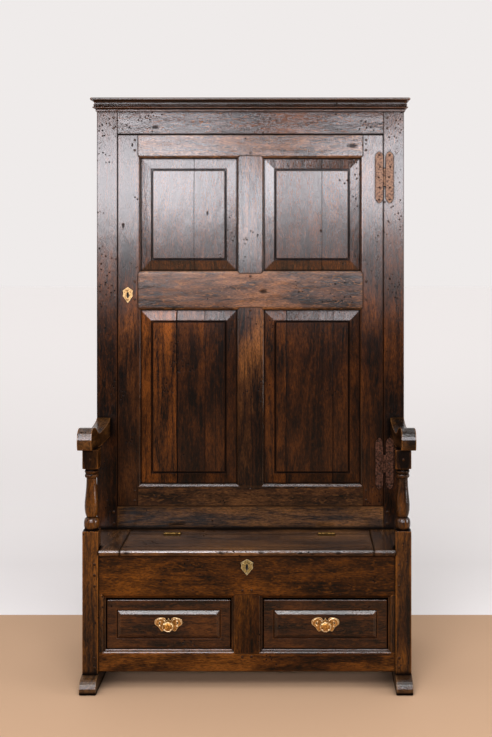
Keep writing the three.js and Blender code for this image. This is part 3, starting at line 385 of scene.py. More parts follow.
    # Rays: pale ribbons about 8 mm wide that wander along quarter-sawn faces
    flash = add(
        tree,
        "ShaderNodeTexNoise",
        {"Vector": drawn(3.5), "Scale": 1 / 0.012, "Detail": 3.0, "Distortion": 2.2},
    ).outputs[0]
    flash = add(
        tree,
        "ShaderNodeMapRange",
        {"Value": flash, "From Min": 0.56, "From Max": 0.66, "To Max": rays},
    ).outputs[0]
    wood = add(
        tree, "ShaderNodeMix", {"Factor": flash, "A": wood, "B": warm}, data_type="RGBA"
    ).outputs["Result"]
    pore_darkness = 0.55
    closed = add(
        tree, "ShaderNodeMath", {0: pores, 1: pore_darkness}, operation="MULTIPLY"
    ).outputs[0]
    wood = add(
        tree, "ShaderNodeMix", {"Factor": closed, "A": wood, "B": dark}, data_type="RGBA"
    ).outputs["Result"]

    # Darker towards the floor and lighter towards the cornice
    tone = add(
        tree,
        "ShaderNodeMapRange",
        {
            "Value": axes["Z"],
            "From Min": 0.90,
            "From Max": 1.35,
            "To Min": tones[0],
            "To Max": tones[1],
        },
        interpolation_type="SMOOTHSTEP",
    ).outputs[0]
    wood = add(
        tree, "ShaderNodeVectorMath", {0: wood, "Scale": tone}, operation="SCALE"
    ).outputs[0]

    # Worm holes, 3 to 4 mm across where their edges have broken away, in clusters
    holes = add(
        tree, "ShaderNodeTexVoronoi", {"Vector": place, "Scale": 1 / 0.014}
    ).outputs["Distance"]
    holes = add(
        tree,
        "ShaderNodeMapRange",
        {"Value": holes, "From Min": 0.15, "From Max": 0.23, "To Min": 1.0, "To Max": 0.0},
    ).outputs[0]
    cluster = add(
        tree, "ShaderNodeTexNoise", {"Vector": place, "Scale": 1 / 0.11, "Detail": 1.0}
    ).outputs[0]
    rare = 0.70 - 0.25 * worm
    cluster = add(
        tree,
        "ShaderNodeMapRange",
        {"Value": cluster, "From Min": rare, "From Max": rare + 0.04},
    ).outputs[0]
    # Knots, bruises, bored places and spots of painted shade, twice as long as wide
    stretch = {"X": (0.5, 1, 1), "Y": (1, 0.5, 1), "Z": (1, 1, 0.5)}[along]

    def spotted(spot, half):
        """How much a ragged spot of the surface covers."""
        away = distance_to(tree, place, spot, stretch)
        away = add(
            tree, "ShaderNodeMath", {0: streaks, 1: half, 2: away}, operation="MULTIPLY_ADD"
        ).outputs[0]
        return add(
            tree,
            "ShaderNodeMapRange",
            {
                "Value": away,
                "From Min": 0.9 * half,
                "From Max": 1.5 * half,
                "To Min": 0.85,
                "To Max": 0.0,
            },
        ).outputs[0]

    for spot, half in bored:
        cluster = add(
            tree, "ShaderNodeMath", {0: spotted(spot, half), 1: cluster}, operation="MAXIMUM"
        ).outputs[0]
    holes = add(
        tree, "ShaderNodeMath", {0: holes, 1: cluster}, operation="MULTIPLY"
    ).outputs[0]
    for spot, half in marks:
        holes = add(
            tree, "ShaderNodeMath", {0: holes, 1: spotted(spot, half)}, operation="MAXIMUM"
        ).outputs[0]

    # Black wax and painted shade in the corners, and pale arrises, rubbed 5 mm wide
    wax_and_shade_black = colour("#060302")
    corner = add(
        tree, "ShaderNodeAmbientOcclusion", {"Distance": reach}, samples=8
    ).outputs["AO"]
    corner_wax_and_shade = add(
        tree,
        "ShaderNodeMapRange",
        {"Value": corner, "From Min": 0.70, "From Max": 0.95, "To Min": 1.0, "To Max": 0.0},
    ).outputs[0]
    arris = add(
        tree,
        "ShaderNodeAmbientOcclusion",
        {"Distance": 0.005},
        samples=6,
        inside=True,
        only_local=True,
    ).outputs["AO"]
    rubbed = add(
        tree,
        "ShaderNodeMapRange",
        {"Value": arris, "From Min": 0.45, "From Max": 0.95, "To Min": wear, "To Max": 0.0},
    ).outputs[0]
    rubbed = add(
        tree, "ShaderNodeMath", {0: rubbed, 1: streaks}, operation="MULTIPLY"
    ).outputs[0]
    wood = add(
        tree, "ShaderNodeMix", {"Factor": rubbed, "A": wood, "B": warm}, data_type="RGBA"
    ).outputs["Result"]
    # What is painted black: wax and painted shade in the corners, the seams, the edges and
    # holes
    black = add(tree, "ShaderNodeMath", {0: corner_wax_and_shade, 1: seam}, operation="MAXIMUM").outputs[0]
    # The piece's own edges are blackened a few millimetres wide: dark joints where it is
    # joined, and painted shade where it meets a gap, as round the door, the lid and drawers
    if joint_and_gap_shade:
        edge = add(
            tree,
            "ShaderNodeAmbientOcclusion",
            {"Distance": gap_shade_width},
            samples=6,
            inside=True,
            only_local=True,
        ).outputs["AO"]
        edge = add(
            tree,
            "ShaderNodeMapRange",
            {"Value": edge, "From Min": 0.55, "From Max": 0.95, "To Min": joint_and_gap_shade, "To Max": 0.0},
        ).outputs[0]
        black = add(tree, "ShaderNodeMath", {0: black, 1: edge}, operation="MAXIMUM").outputs[0]
    black = add(tree, "ShaderNodeMath", {0: black, 1: holes}, operation="MAXIMUM").outputs[0]
    wood = add(
        tree,
        "ShaderNodeMix",
        {"Factor": black, "A": wood, "B": wax_and_shade_black},
        data_type="RGBA",
    ).outputs["Result"]

    # Relief: plane ripples and dents 35 mm wide, pores, holes and seams
    streak_rise, dent_rise, pore_rise, pit_rise, seam_share = 0.3, 4.0, -0.25, -3.0, 0.5
    dents = add(
        tree, "ShaderNodeTexNoise", {"Vector": drawn(3), "Scale": 1 / 0.035, "Detail": 3.0}
    ).outputs[0]
    height = add(
        tree, "ShaderNodeMath", {0: streaks, 1: streak_rise}, operation="MULTIPLY"
    ).outputs[0]
    height = add(
        tree, "ShaderNodeMath", {0: dents, 1: dent_rise, 2: height}, operation="MULTIPLY_ADD"
    ).outputs[0]
    height = add(
        tree, "ShaderNodeMath", {0: pores, 1: pore_rise, 2: height}, operation="MULTIPLY_ADD"
    ).outputs[0]
    pits = add(
        tree, "ShaderNodeMath", {0: seam, 1: seam_share, 2: holes}, operation="MULTIPLY_ADD"
    ).outputs[0]
    height = add(
        tree, "ShaderNodeMath", {0: pits, 1: pit_rise, 2: height}, operation="MULTIPLY_ADD"
    ).outputs[0]
    soft = add(tree, "ShaderNodeBevel", {"Radius": 0.0022}, samples=4).outputs[0]
    relief = add(
        tree,
        "ShaderNodeBump",
        {"Strength": 0.5, "Distance": 0.0004, "Height": height, "Normal": soft},
    ).outputs[0]
    # The duster reaches the upper part, every ledge and bevel that faces up, and the
    # rounded sides, and the wax stays dull where it is black, also where shade is painted
    side_wax = 0.7
    polish = add(
        tree,
        "ShaderNodeMapRange",
        {
            "Value": axes["Z"],
            "From Min": 1.0,
            "From Max": 1.70,
            "To Min": low_wax * wax,
            "To Max": wax,
        },
        interpolation_type="SMOOTHSTEP",
    ).outputs[0]
    facing = add(tree, "ShaderNodeNewGeometry").outputs["True Normal"]
    facing = add(tree, "ShaderNodeSeparateXYZ", {0: facing}).outputs
    ledge = add(
        tree,
        "ShaderNodeMapRange",
        {"Value": facing["Z"], "From Min": 0.05, "From Max": 0.22, "To Max": wax},
    ).outputs[0]
    polish = add(tree, "ShaderNodeMath", {0: polish, 1: ledge}, operation="MAXIMUM").outputs[0]
    rim = add(tree, "ShaderNodeMath", {0: facing["X"]}, operation="ABSOLUTE").outputs[0]
    rim = add(
        tree,
        "ShaderNodeMapRange",
        {"Value": rim, "From Min": 0.25, "From Max": 0.50, "To Max": side_wax * wax},
    ).outputs[0]
    polish = add(tree, "ShaderNodeMath", {0: polish, 1: rim}, operation="MAXIMUM").outputs[0]
    clean = add(tree, "ShaderNodeMath", {0: 1.0, 1: black}, operation="SUBTRACT").outputs[0]
    polish = add(tree, "ShaderNodeMath", {0: polish, 1: clean}, operation="MULTIPLY").outputs[0]
    warped = add(
        tree, "ShaderNodeVectorMath", {0: relief, 1: (lean[0], 0, lean[1])}, operation="ADD"
    ).outputs[0]
    warped = add(tree, "ShaderNodeVectorMath", {0: warped}, operation="NORMALIZE").outputs[0]
    patchy, matt = 0.16, 0.35
    smear = add(
        tree,
        "ShaderNodeMath",
        {0: patina, 1: patchy, 2: gloss - patchy / 2},
        operation="MULTIPLY_ADD",
    ).outputs[0]
    smear = add(
        tree, "ShaderNodeMath", {0: black, 1: matt, 2: smear}, operation="MULTIPLY_ADD"
    ).outputs[0]
    shader = add(
        tree,
        "ShaderNodeBsdfPrincipled",
        {
            "Base Color": wood,
            "Roughness": smear,
            "IOR": 1.45,
            "Specular IOR Level": 0.04,
            "Normal": relief,
            "Coat Weight": polish,
            "Coat Roughness": satin,
            "Coat IOR": film,
            "Coat Normal": warped,
        },
    )
    add(tree, "ShaderNodeOutputMaterial", {"Surface": shader.outputs[0]})
    return material


def finish_in(material, *names):
    """Gives pieces of the settle their finish."""
    for name in names:
        for place in range(len(cad[name].data.materials)):
            cad[name].data.materials[place] = material


even = (1.0, 1.0)  # the tones of a piece that is as light low down as high up
foot_oak = old_oak(
    "old_oak_feet",
    "Y",
    (0.3, 2.1, 0.7),
    ("#150c06", "#432a16", "#86603a"),
    wax=0.5,
    wear=0.8,
    tones=even,
)
finish_in(foot_oak, "sledge_foot_left", "sledge_foot_right")

# Front posts
# Each is one length of oak, square up to the seat, turned to a baluster above it, and left
# square again under the arm. It is tenoned into the foot and the arm, and pegged.
post_oak = old_oak(
    "old_oak_posts",
    "Z",
    (1.1, 0.2, 3.3),
    ("#070301", "#3d1e09", "#925718"),
    warmth=0.75,
    low_wax=0.3,
    wear=0.9,
    worm=0.6,
    # The two spots on the square blocks under the arms are painted shade, where the arms shade
    # them
    marks=(((-0.517, -0.240, 0.765), 0.048), ((0.517, -0.240, 0.760), 0.040)),
)
finish_in(post_oak, "front_post_left", "front_post_right")

# Arms
# Each arm is sawn from one thick piece, dipped in the middle and rounded at the hand end,
# which three centuries of hands have rubbed smooth and pale.
arm_oak = old_oak(
    "old_oak_arms",
    "Y",
    (0.9, 0.4, 5.2),
    ("#080402", "#2f1b0d", "#93602e"),
    warmth=0.6,
    low_wax=0.3,
    wax=0.65,
    satin=0.10,
    wear=1.0,
)
finish_in(arm_oak, "arm_left", "arm_right")

# Seat front
# A deep rail over two drawer openings, a lower rail and a broad muntin between them, all
# tenoned and pegged, with a moulding worked on the edges round the drawers.
rail_oak = old_oak(
    "old_oak_seat_rail",
    "X",
    (0.2, 0.5, 1.9),
    ("#080401", "#3d1e07", "#864c13"),
    rays=0.35,
    warmth=0.85,
    joint_and_gap_shade=0.8,
    # The spot behind the seat's keyhole is painted shade, as dark as the open keyhole
    marks=(((0.0, -0.241, 0.402), 0.009),),
)
finish_in(rail_oak, "seat_rail")
low_rail_oak = old_oak(
    "old_oak_lower_rail",
    "X",
    (1.2, 0.9, 3.9),
    ("#0e0702", "#5a2e0d", "#9c5e20"),
    warmth=0.8,
    joint_and_gap_shade=0.8,
)
finish_in(low_rail_oak, "lower_rail")
muntin_oak = old_oak(
    "old_oak_seat_muntin",
    "Z",
    (3.1, 0.4, 0.2),
    ("#0a0502", "#482409", "#8c5316"),
    warmth=0.8,
    joint_and_gap_shade=0.8,
)
finish_in(muntin_oak, "drawer_muntin")

# Cupboard frame
# Two stiles that run from the feet to the cornice, with a rail at the top and one above
# the seat, tenoned and pegged.
stile_oak = old_oak(
    "old_oak_left_stile",
    "Z",
    (0.4, 3.2, 0.9),
    rays=0.15,
    warmth=0.35,
    wax=0.85,
    worm=0.7,
    joint_and_gap_shade=0.9,
)
finish_in(stile_oak, "cupboard_stile_left")
stile_oak = old_oak(
    "old_oak_right_stile",
    "Z",
    (2.4, 1.2, 0.5),
    rays=0.15,
    warmth=0.6,
    wax=0.9,
    worm=0.7,
    joint_and_gap_shade=0.9,
    bored=(
        ((0.505, 0.035, 1.60), 0.08),
        ((0.505, 0.035, 1.30), 0.05),
        ((0.510, 0.035, 1.86), 0.04),
    ),
)
finish_in(stile_oak, "cupboard_stile_right")
cupboard_rail_oak = old_oak(
    "old_oak_cupboard_rails",
    "X",
    (2.4, 0.8, 4.1),
    rays=0.4,
    lean=(0.0, 0.008),
    joint_and_gap_shade=0.8,
    marks=(((-0.336, 0.035, 1.882), 0.009), ((0.302, 0.035, 1.927), 0.004)),
)
finish_in(cupboard_rail_oak, "top_rail")
above_seat_oak = old_oak(
    "old_oak_rail_above_seat",
    "X",
    (1.4, 2.8, 1.1),
    ("#0d0703", "#69421f", "#a8723f"),
    joint_and_gap_shade=0.8,
)
finish_in(above_seat_oak, "bottom_rail")

# Cornice
# A moulding run along oak with a plane, in three lengths that are mitred at the two front
# corners and nailed to the frame.
cornice_oak = old_oak("old_oak_cornice", "X", (1.4, 1.8, 0.1), wear=0.8, tones=even)
finish_in(cornice_oak, "cornice_front")
return_oak = old_oak("old_oak_cornice_returns", "Y", (1.9, 0.8, 2.1), wear=0.8, tones=even)
finish_in(return_oak, "cornice_left", "cornice_right")

# Sides, top and back
# Wide oak boards nailed into rebates. The sides are waxed as the front is, and the back
# and top, which nobody sees, were left from the saw.
side_oak = old_oak(
    "old_oak_sides",
    "Z",
    (4.2, 0.3, 1.2),
    warmth=0.4,
    wax=0.85,
    boards=((0.17, 0.001),),
    across="Y",
)
finish_in(side_oak, "side_board_left", "side_board_right")
seat_side_oak = old_oak(
    "old_oak_seat_sides",
    "Z",
    (2.2, 1.3, 0.2),
    warmth=0.5,
    boards=((-0.09, 0.001),),
    across="Y",
)
finish_in(seat_side_oak, "seat_side_left", "seat_side_right")
sawn = ("#2a2018", "#57432f", "#7b6345")
back_oak = old_oak(
    "sawn_oak_back",
    "Z",
    (0.7, 2.3, 2.2),
    sawn,
    boards=((-0.33, 0.0012), (-0.11, 0.0015), (0.12, 0.0010), (0.32, 0.0014)),
    gloss=0.75,
    wax=0.0,
    wear=0.3,
    tones=even,
)
finish_in(back_oak, "back_board")
top_oak = old_oak(
    "sawn_oak_top",
    "X",
    (0.7, 0.3, 3.2),
    sawn,
    boards=((0.16, 0.0012),),
    across="Y",
    gloss=0.75,
    wax=0.0,
    tones=even,
)
finish_in(top_oak, "top_board")

# Boards inside
# The cupboard floor, the floor of the seat box, and the boards that the drawers run on,
# of dry oak that was never waxed.
dry = ("#3c2c1d", "#70543a", "#94764f")
inner_oak = old_oak(
    "dry_oak_inside",
    "X",
    (1.7, 3.3, 0.2),
    dry,
    gloss=0.7,
    wax=0.0,
    wear=0.3,
    worm=0.3,
    tones=even,
)
finish_in(inner_oak, "cupboard_floor", "seat_box_floor", "base_board")
divider_oak = old_oak(
    "dry_oak_divider", "Y", (0.7, 1.3, 0.2), dry, gloss=0.7, wax=0.0, tones=even
)
finish_in(divider_oak, "drawer_divider")

# Seat
# The lid lies between two end boards and hinges on a strip at the back. Sitting has
# polished it and rounded its front edge.
worn = ("#1a0f08", "#664126", "#9f6c3a")
bruise_size = 0.0085
bruises = [
    ((x, -0.253, 0.452), bruise_size) for x in (-0.399, -0.085, 0.047, 0.178, 0.303)
]
seat_oak = old_oak(
    "old_oak_seat",
    "X",
    (3.7, 0.3, 0.8),
    worn,
    wax=0.85,
    wear=0.9,
    satin=0.10,
    film=2.1,
    boards=((-0.20, 0.0008),),
    across="Y",
    joint_and_gap_shade=1.0,
    gap_shade_width=0.007,
    marks=bruises,
)
finish_in(seat_oak, "seat_lid", "seat_back_strip")
seat_end_oak = old_oak(
    "old_oak_seat_ends",
    "Y",
    (0.6, 2.3, 0.8),
    worn,
    wax=0.75,
    wear=0.9,
    satin=0.10,
    film=2.1,
    joint_and_gap_shade=1.0,
    gap_shade_width=0.007,
)
finish_in(seat_end_oak, "seat_end_left", "seat_end_right")

# Drawers
# Each front is one oak board with a raised field in a frame of bevels. The box behind it
# is of thin dry oak, nailed together and never waxed.
drawer_oak = old_oak(
    "old_oak_drawer_fronts",
    "X",
    (0.2, 1.1, 6.1),
    ("#070301", "#3a1d0c", "#7c4618"),
    rays=0.25,
    warmth=0.7,
    wear=0.8,
    low_wax=0.35,
)
finish_in(drawer_oak, "drawer_front_left", "drawer_front_right")
box_oak = old_oak(
    "dry_oak_drawer_boxes", "Y", (0.1, 1.9, 4.1), dry, gloss=0.7, wax=0.0, wear=0.3, tones=even
)
finish_in(box_oak, "drawer_box_left", "drawer_box_right")

# Door frame
# Two stiles, three rails and two muntins, tenoned and pegged, with a moulding worked on
# every edge that holds a panel.
lock_stile_oak = old_oak(
    "old_oak_lock_stile",
    "Z",
    (5.4, 0.2, 0.9),
    ("#050301", "#331809", "#703f16"),
    warmth=0.75,
    wax=0.85,
    tones=(0.45, 1.9),
    joint_and_gap_shade=0.9,
    marks=(
        ((-0.450, 0.035, 1.532), 0.006),
        ((-0.418, 0.035, 1.819), 0.004),
        # the spot behind the door's keyhole is painted shade, as dark as the open keyhole
        ((-0.4335, 0.035, 1.288), 0.009),
    ),
)
finish_in(lock_stile_oak, "door_lock_stile")
hinge_stile_oak = old_oak(
    "old_oak_hinge_stile",
    "Z",
    (1.4, 3.2, 1.9),
    warmth=0.6,
    joint_and_gap_shade=0.9,
    bored=(((0.43, 0.035, 1.40), 0.04),),
)
finish_in(hinge_stile_oak, "door_hinge_stile")
door_rail_oak = old_oak(
    "old_oak_door_rails",
    "X",
    (0.4, 2.2, 2.9),
    ("#080401", "#4a2a15", "#8a5a30"),
    rays=0.3,
    warmth=0.7,
    lean=(0.0, 0.005),
    joint_and_gap_shade=0.8,
    marks=(((0.047, 0.035, 1.300), 0.011), ((0.362, 0.035, 1.816), 0.010)),
)
finish_in(door_rail_oak, "door_top_rail", "door_lock_rail", "door_bottom_rail")
door_muntin_oak = old_oak(
    "old_oak_door_muntins",
    "Z",
    (1.4, 4.2, 3.71),
    ("#080402", "#462510", "#8c5829"),
    warmth=0.8,
    wax=0.92,
    tones=(0.48, 1.5),
    lean=(-0.03, 0.02),
    joint_and_gap_shade=0.8,
)
finish_in(door_muntin_oak, "door_muntin_upper", "door_muntin_lower")

# Door panels
# Each panel is glued up from two or three riven boards, raised and fielded, and held loose
# in grooves. It has shrunk, so that the seams show as dark lines from bevel to bevel.
panels = {
    # the seams and half their width, the warmth, how golden the first board is, how far it
    # leans back, the place in the tree, the knots, the worst worm
    "upper_left": (
        ((-0.200, 0.0009),),
        0.35,
        0.0,
        -0.008,
        (0.2, 0.6, 1.1),
        (((-0.152, 0.036, 1.577), 0.004),),
        (((-0.066, 0.041, 1.49), 0.05), ((-0.10, 0.038, 1.43), 0.035)),
    ),
    "upper_right": (
        ((0.253, 0.0010),),
        0.55,
        0.0,
        -0.013,
        (2.2, 1.6, 0.1),
        (((0.249, 0.036, 1.512), 0.004),),
        (
            ((0.380, 0.041, 1.72), 0.038),
            ((0.380, 0.041, 1.62), 0.038),
            ((0.380, 0.041, 1.53), 0.038),
            ((0.372, 0.041, 1.43), 0.030),
        ),
    ),
    "lower_left": (
        ((-0.260, 0.0022), (-0.161, 0.0010)),
        0.45,
        1.0,
        -0.008,
        (1.2, 2.6, 2.1),
        (),
        (),
    ),
    "lower_right": (
        ((0.126, 0.0011), (0.292, 0.0013)),
        0.45,
        0.4,
        -0.008,
        (3.2, 0.9, 4.1),
        (),
        (),
    ),
}
for name, (seams, warmth, golden, back, shift, knots, worst) in panels.items():
    finish_in(
        old_oak(
            f"old_oak_panel_{name}",
            "Z",
            shift,
            warmth=warmth,
            boards=seams,
            rays=0.12,
            worm=0.15,
            lean=(0.0, back),
            golden=golden,
            reach=0.008,
            joint_and_gap_shade=0.85,
            marks=knots,
            bored=worst,
        ),
        f"door_panel_{name}",
    )

# Pegs
# Riven oak pegs, 10 mm thick, drawn through every mortice and tenon and cut off almost
# flush. They stand a little proud, because the boards have shrunk, and are rubbed round.


def open_faces(piece, wanted):
    """Opens a piece for editing, with only the faces selected that are wanted."""
    bpy.ops.object.select_all(action="DESELECT")
    piece.select_set(True)
    bpy.context.view_layer.objects.active = piece
    bpy.context.tool_settings.mesh_select_mode = (False, False, True)
    for part in (*piece.data.vertices, *piece.data.edges):
        part.select = False
    for face in piece.data.polygons:
        face.select = wanted(face)
    bpy.ops.object.mode_set(mode="EDIT")


def twin(model):
    """A copy of a piece, with a mesh of its own."""
    copy = model.copy()
    copy.data = model.data.copy()
    bpy.context.scene.collection.objects.link(copy)
    return copy


def set_out(model, name, places, body, finish, turns=None, size=1.0):
    """Copies a small piece, which points up, to places on the front, as one piece.

    Without turns, each copy is turned on from the one before, so that no two look alike.
    """
    turn_on = 2.4
    copies = []
    for step, place in enumerate(places):
        copy = twin(model)
        copy.location = place
        turn = turns[step] if turns else turn_on * step
        copy.rotation_euler = (math.pi / 2, turn, 0)
        copy.scale = (size, size, size)
        copies.append(copy)
    bpy.ops.object.select_all(action="DESELECT")
    for copy in copies:
        copy.select_set(True)
    bpy.context.view_layer.objects.active = copies[0]
    if len(copies) > 1:
        bpy.ops.object.join()
    bpy.ops.object.transform_apply(location=True, rotation=True, scale=True)
    bpy.ops.object.shade_smooth_by_angle(angle=math.radians(35))
    copies[0].name = name
    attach(copies[0], body)
    copies[0].data.materials.append(finish)


peg_radius, peg_length = 0.0049, 0.006
worn_rim, worn_rise = 0.0010, 0.0004
crown_rim, crown_rise, off_middle = 0.0018, 0.0002, 0.0004
out_of_round, driven_in = 0.9, 0.0028
bpy.ops.object.select_all(action="DESELECT")
bpy.ops.mesh.primitive_cylinder_add(vertices=10, radius=peg_radius, depth=peg_length)
peg = bpy.context.object
open_faces(peg, lambda face: face.normal.z > 0.9)
bpy.ops.mesh.inset(thickness=worn_rim)
bpy.ops.transform.translate(value=(0, 0, worn_rise))
bpy.ops.mesh.inset(thickness=crown_rim)
bpy.ops.transform.translate(value=(off_middle, 0, crown_rise))
bpy.ops.mesh.select_all(action="SELECT")
bpy.ops.transform.resize(value=(1.0, out_of_round, 1.0))
bpy.ops.transform.translate(value=(0, 0, -driven_in))
bpy.ops.object.mode_set(mode="OBJECT")

end_oak = old_oak(
    "old_oak_peg_ends", "Y", (0.8, 3.3, 1.2), ("#060302", "#24130a", "#5b3614"), wax=0.3
)
# The front faces of the door and its frame, of the posts, and of the rails under the seat
door_face, post_face, rail_face = 0.035, -0.245, -0.241
door_pegs = [
    (side * 0.409, door_face, z)
    for side in (-1, 1)
    for z in (0.560, 0.594, 1.272, 1.336, 1.800, 1.836)
]
door_pegs += [(0.0, door_face, z) for z in (0.600, 1.234, 1.354, 1.791)]
frame_pegs = [
    (side * 0.484, door_face, z) for side in (-1, 1) for z in (0.480, 0.520, 1.878, 1.915)
]
frame_pegs += [
    (side * 0.503, post_face, z)
    for side in (-1, 1)
    for z in (0.072, 0.103, 0.340, 0.376, 0.412)
]
frame_pegs += [(side * 0.517, post_face, 0.758) for side in (-1, 1)]
frame_pegs += [(side * 0.015, rail_face, z) for side in (-1, 1) for z in (0.106, 0.325)]
for name, places, body in (
    ("door_pegs", door_pegs, "door"),
    ("frame_pegs", frame_pegs, "carcass"),
):
    set_out(peg, name, places, body, end_oak)
bpy.data.objects.remove(peg)

# Iron
# The two H hinges of the door, forged by hand and rusted brown under old wax, and the
# iron locks inside.


def old_iron(name, rust, bare, roughness):
    """Wrought iron: rust in soft patches 8 mm wide over dark metal with hammer marks."""
    material, tree, place = empty_material(name)
    patches = add(
        tree,
        "ShaderNodeTexNoise",
        {"Vector": place, "Scale": 1 / 0.008, "Detail": 5.0, "Roughness": 0.7},
    ).outputs[0]
    cover = add(
        tree, "ShaderNodeMapRange", {"Value": patches, "From Min": 0.42, "From Max": 0.58}
    ).outputs[0]
    metal = add(
        tree,
        "ShaderNodeMix",
        {"Factor": cover, "A": colour(bare), "B": colour(rust)},
        data_type="RGBA",
    ).outputs["Result"]
    clean = add(
        tree, "ShaderNodeMapRange", {"Value": cover, "To Min": 0.9, "To Max": 0.35}
    ).outputs[0]
    rough = add(
        tree,
        "ShaderNodeMapRange",
        {"Value": cover, "To Min": roughness, "To Max": roughness + 0.18},
    ).outputs[0]
    # Hammer marks 5 mm wide
    hammer = add(
        tree, "ShaderNodeTexNoise", {"Vector": place, "Scale": 1 / 0.005, "Detail": 3.0}
    ).outputs[0]
    soft = add(tree, "ShaderNodeBevel", {"Radius": 0.0010}, samples=4).outputs[0]
    relief = add(
        tree,
        "ShaderNodeBump",
        {"Strength": 0.6, "Distance": 0.0008, "Height": hammer, "Normal": soft},
    ).outputs[0]
    shader = add(
        tree,
        "ShaderNodeBsdfPrincipled",
        {"Base Color": metal, "Metallic": clean, "Roughness": rough, "Normal": relief},
    )
    add(tree, "ShaderNodeOutputMaterial", {"Surface": shader.outputs[0]})
    return material


finish_in(
    old_iron("wrought_iron_upper_hinge", "#84644e", "#3c2c26", 0.34),
    "door_hinge_fixed_upper",
    "door_hinge_leaf_upper",
)
finish_in(
    old_iron("wrought_iron_lower_hinge", "#4c2813", "#1e1109", 0.50),
    "door_hinge_fixed_lower",
    "door_hinge_leaf_lower",
)
finish_in(
    old_iron("wrought_iron_locks", "#3d2c24", "#4b4744", 0.45),
    "door_lock_case",
    "door_lock_bolt",
    "seat_lock_case",
)

# Hinge nails
# Rose-head nails, five to a leaf, forged by hand: each head has five hammered facets.
# They go through the iron leaves into the oak, and have gone as brown as the leaves.
head_radius, head_top, head_height = 0.0043, 0.0014, 0.0022
worn_edge, longer, above_leaf = 0.0004, 1.12, 0.0009
bpy.ops.object.select_all(action="DESELECT")
bpy.ops.mesh.primitive_cone_add(
    vertices=5, radius1=head_radius, radius2=head_top, depth=head_height
)
nail = bpy.context.object
open_faces(nail, lambda face: True)
bpy.ops.mesh.bevel(offset=worn_edge, segments=2, affect="EDGES")
bpy.ops.transform.resize(value=(longer, 1.0, 1.0))
bpy.ops.transform.translate(value=(0, 0, above_leaf))
bpy.ops.object.mode_set(mode="OBJECT")
leaf_face = 0.0325
hinge_heights = (0.692, 1.704)
# How far each nail of a leaf is above the hinge's middle, and aside of the leaf's
nail_rows = ((0.079, 0.0), (0.037, 0.003), (0.0, -0.002), (-0.036, 0.001), (-0.078, 0.0))
for name, leaf_middle, body in (
    ("nails_of_moving_leaves", 0.4555, "door"),
    ("nails_of_fixed_leaves", 0.4925, "carcass"),
):
    places = [
        (leaf_middle + aside, leaf_face, height + up)
        for height in hinge_heights
        for up, aside in nail_rows
    ]
    forged_iron = old_iron(f"forged_iron_{name}", "#2a150c", "#3a2c24", 0.42)
    set_out(nail, name, places, body, forged_iron)
bpy.data.objects.remove(nail)

# Brass
# The drawer pulls, escutcheons and lid hinges, cast in sand and filed, polished on the
# high parts and brown in the hollows.


def old_brass(name, bright, dull, roughness, edges=None, keyhole=None):
    """Cast brass, bright where it is rubbed, with brown tarnish in its hollows and in the
    hollows of its casting ripples, which are 4 mm wide.

    Its edges may be rubbed brighter still, 1.6 mm wide, and in and round its keyhole it is
    painted black: painted shade, so that the keyhole shows as a wide dark opening.
    """
    material, tree, place = empty_material(name)
    ripple = add(
        tree, "ShaderNodeTexNoise", {"Vector": place, "Scale": 1 / 0.004, "Detail": 4.0}
    ).outputs[0]
    hollow = add(
        tree, "ShaderNodeAmbientOcclusion", {"Distance": 0.004}, samples=6
    ).outputs["AO"]
    hollow = add(
        tree, "ShaderNodeMapRange", {"Value": hollow, "From Min": 0.55, "From Max": 0.95}
    ).outputs[0]
    polish = add(
        tree, "ShaderNodeMapRange", {"Value": ripple, "From Min": 0.34, "From Max": 0.56}
    ).outputs[0]
    polish = add(
        tree, "ShaderNodeMath", {0: hollow, 1: polish}, operation="MULTIPLY"
    ).outputs[0]
    metal = add(
        tree,
        "ShaderNodeMix",
        {"Factor": polish, "A": colour(dull), "B": colour(bright)},
        data_type="RGBA",
    ).outputs["Result"]
    rough = add(
        tree,
        "ShaderNodeMapRange",
        {"Value": polish, "To Min": roughness + 0.25, "To Max": roughness},
    ).outputs[0]
    if edges:
        near = add(
            tree,
            "ShaderNodeAmbientOcclusion",
            {"Distance": 0.0016},
            samples=8,
            inside=True,
            only_local=True,
        ).outputs["AO"]
        near = add(
            tree,
            "ShaderNodeMapRange",
            {"Value": near, "From Min": 0.60, "From Max": 0.95, "To Min": 1.0, "To Max": 0.0},
        ).outputs[0]
        metal = add(
            tree,
            "ShaderNodeMix",
            {"Factor": near, "A": metal, "B": colour(edges)},
            data_type="RGBA",
        ).outputs["Result"]
    clear = 1.0
    # Painted shade: the plate is black in and round the keyhole, where the opening is dark
    if keyhole:
        wax_and_shade_black, tall = "#060402", (1, 1, 0.4)
        away = distance_to(tree, place, keyhole, tall)
        clear = add(
            tree, "ShaderNodeMapRange", {"Value": away, "From Min": 0.0040, "From Max": 0.0050}
        ).outputs[0]
        metal = add(
            tree,
            "ShaderNodeMix",
            {"Factor": clear, "A": colour(wax_and_shade_black), "B": metal},
            data_type="RGBA",
        ).outputs["Result"]
    soft = add(tree, "ShaderNodeBevel", {"Radius": 0.0010}, samples=4).outputs[0]
    relief = add(
        tree,
        "ShaderNodeBump",
        {"Strength": 0.35, "Distance": 0.0006, "Height": ripple, "Normal": soft},
    ).outputs[0]
    shader = add(
        tree,
        "ShaderNodeBsdfPrincipled",
        {"Base Color": metal, "Metallic": clear, "Roughness": rough, "Normal": relief},
    )
    add(tree, "ShaderNodeOutputMaterial", {"Surface": shader.outputs[0]})
    return material


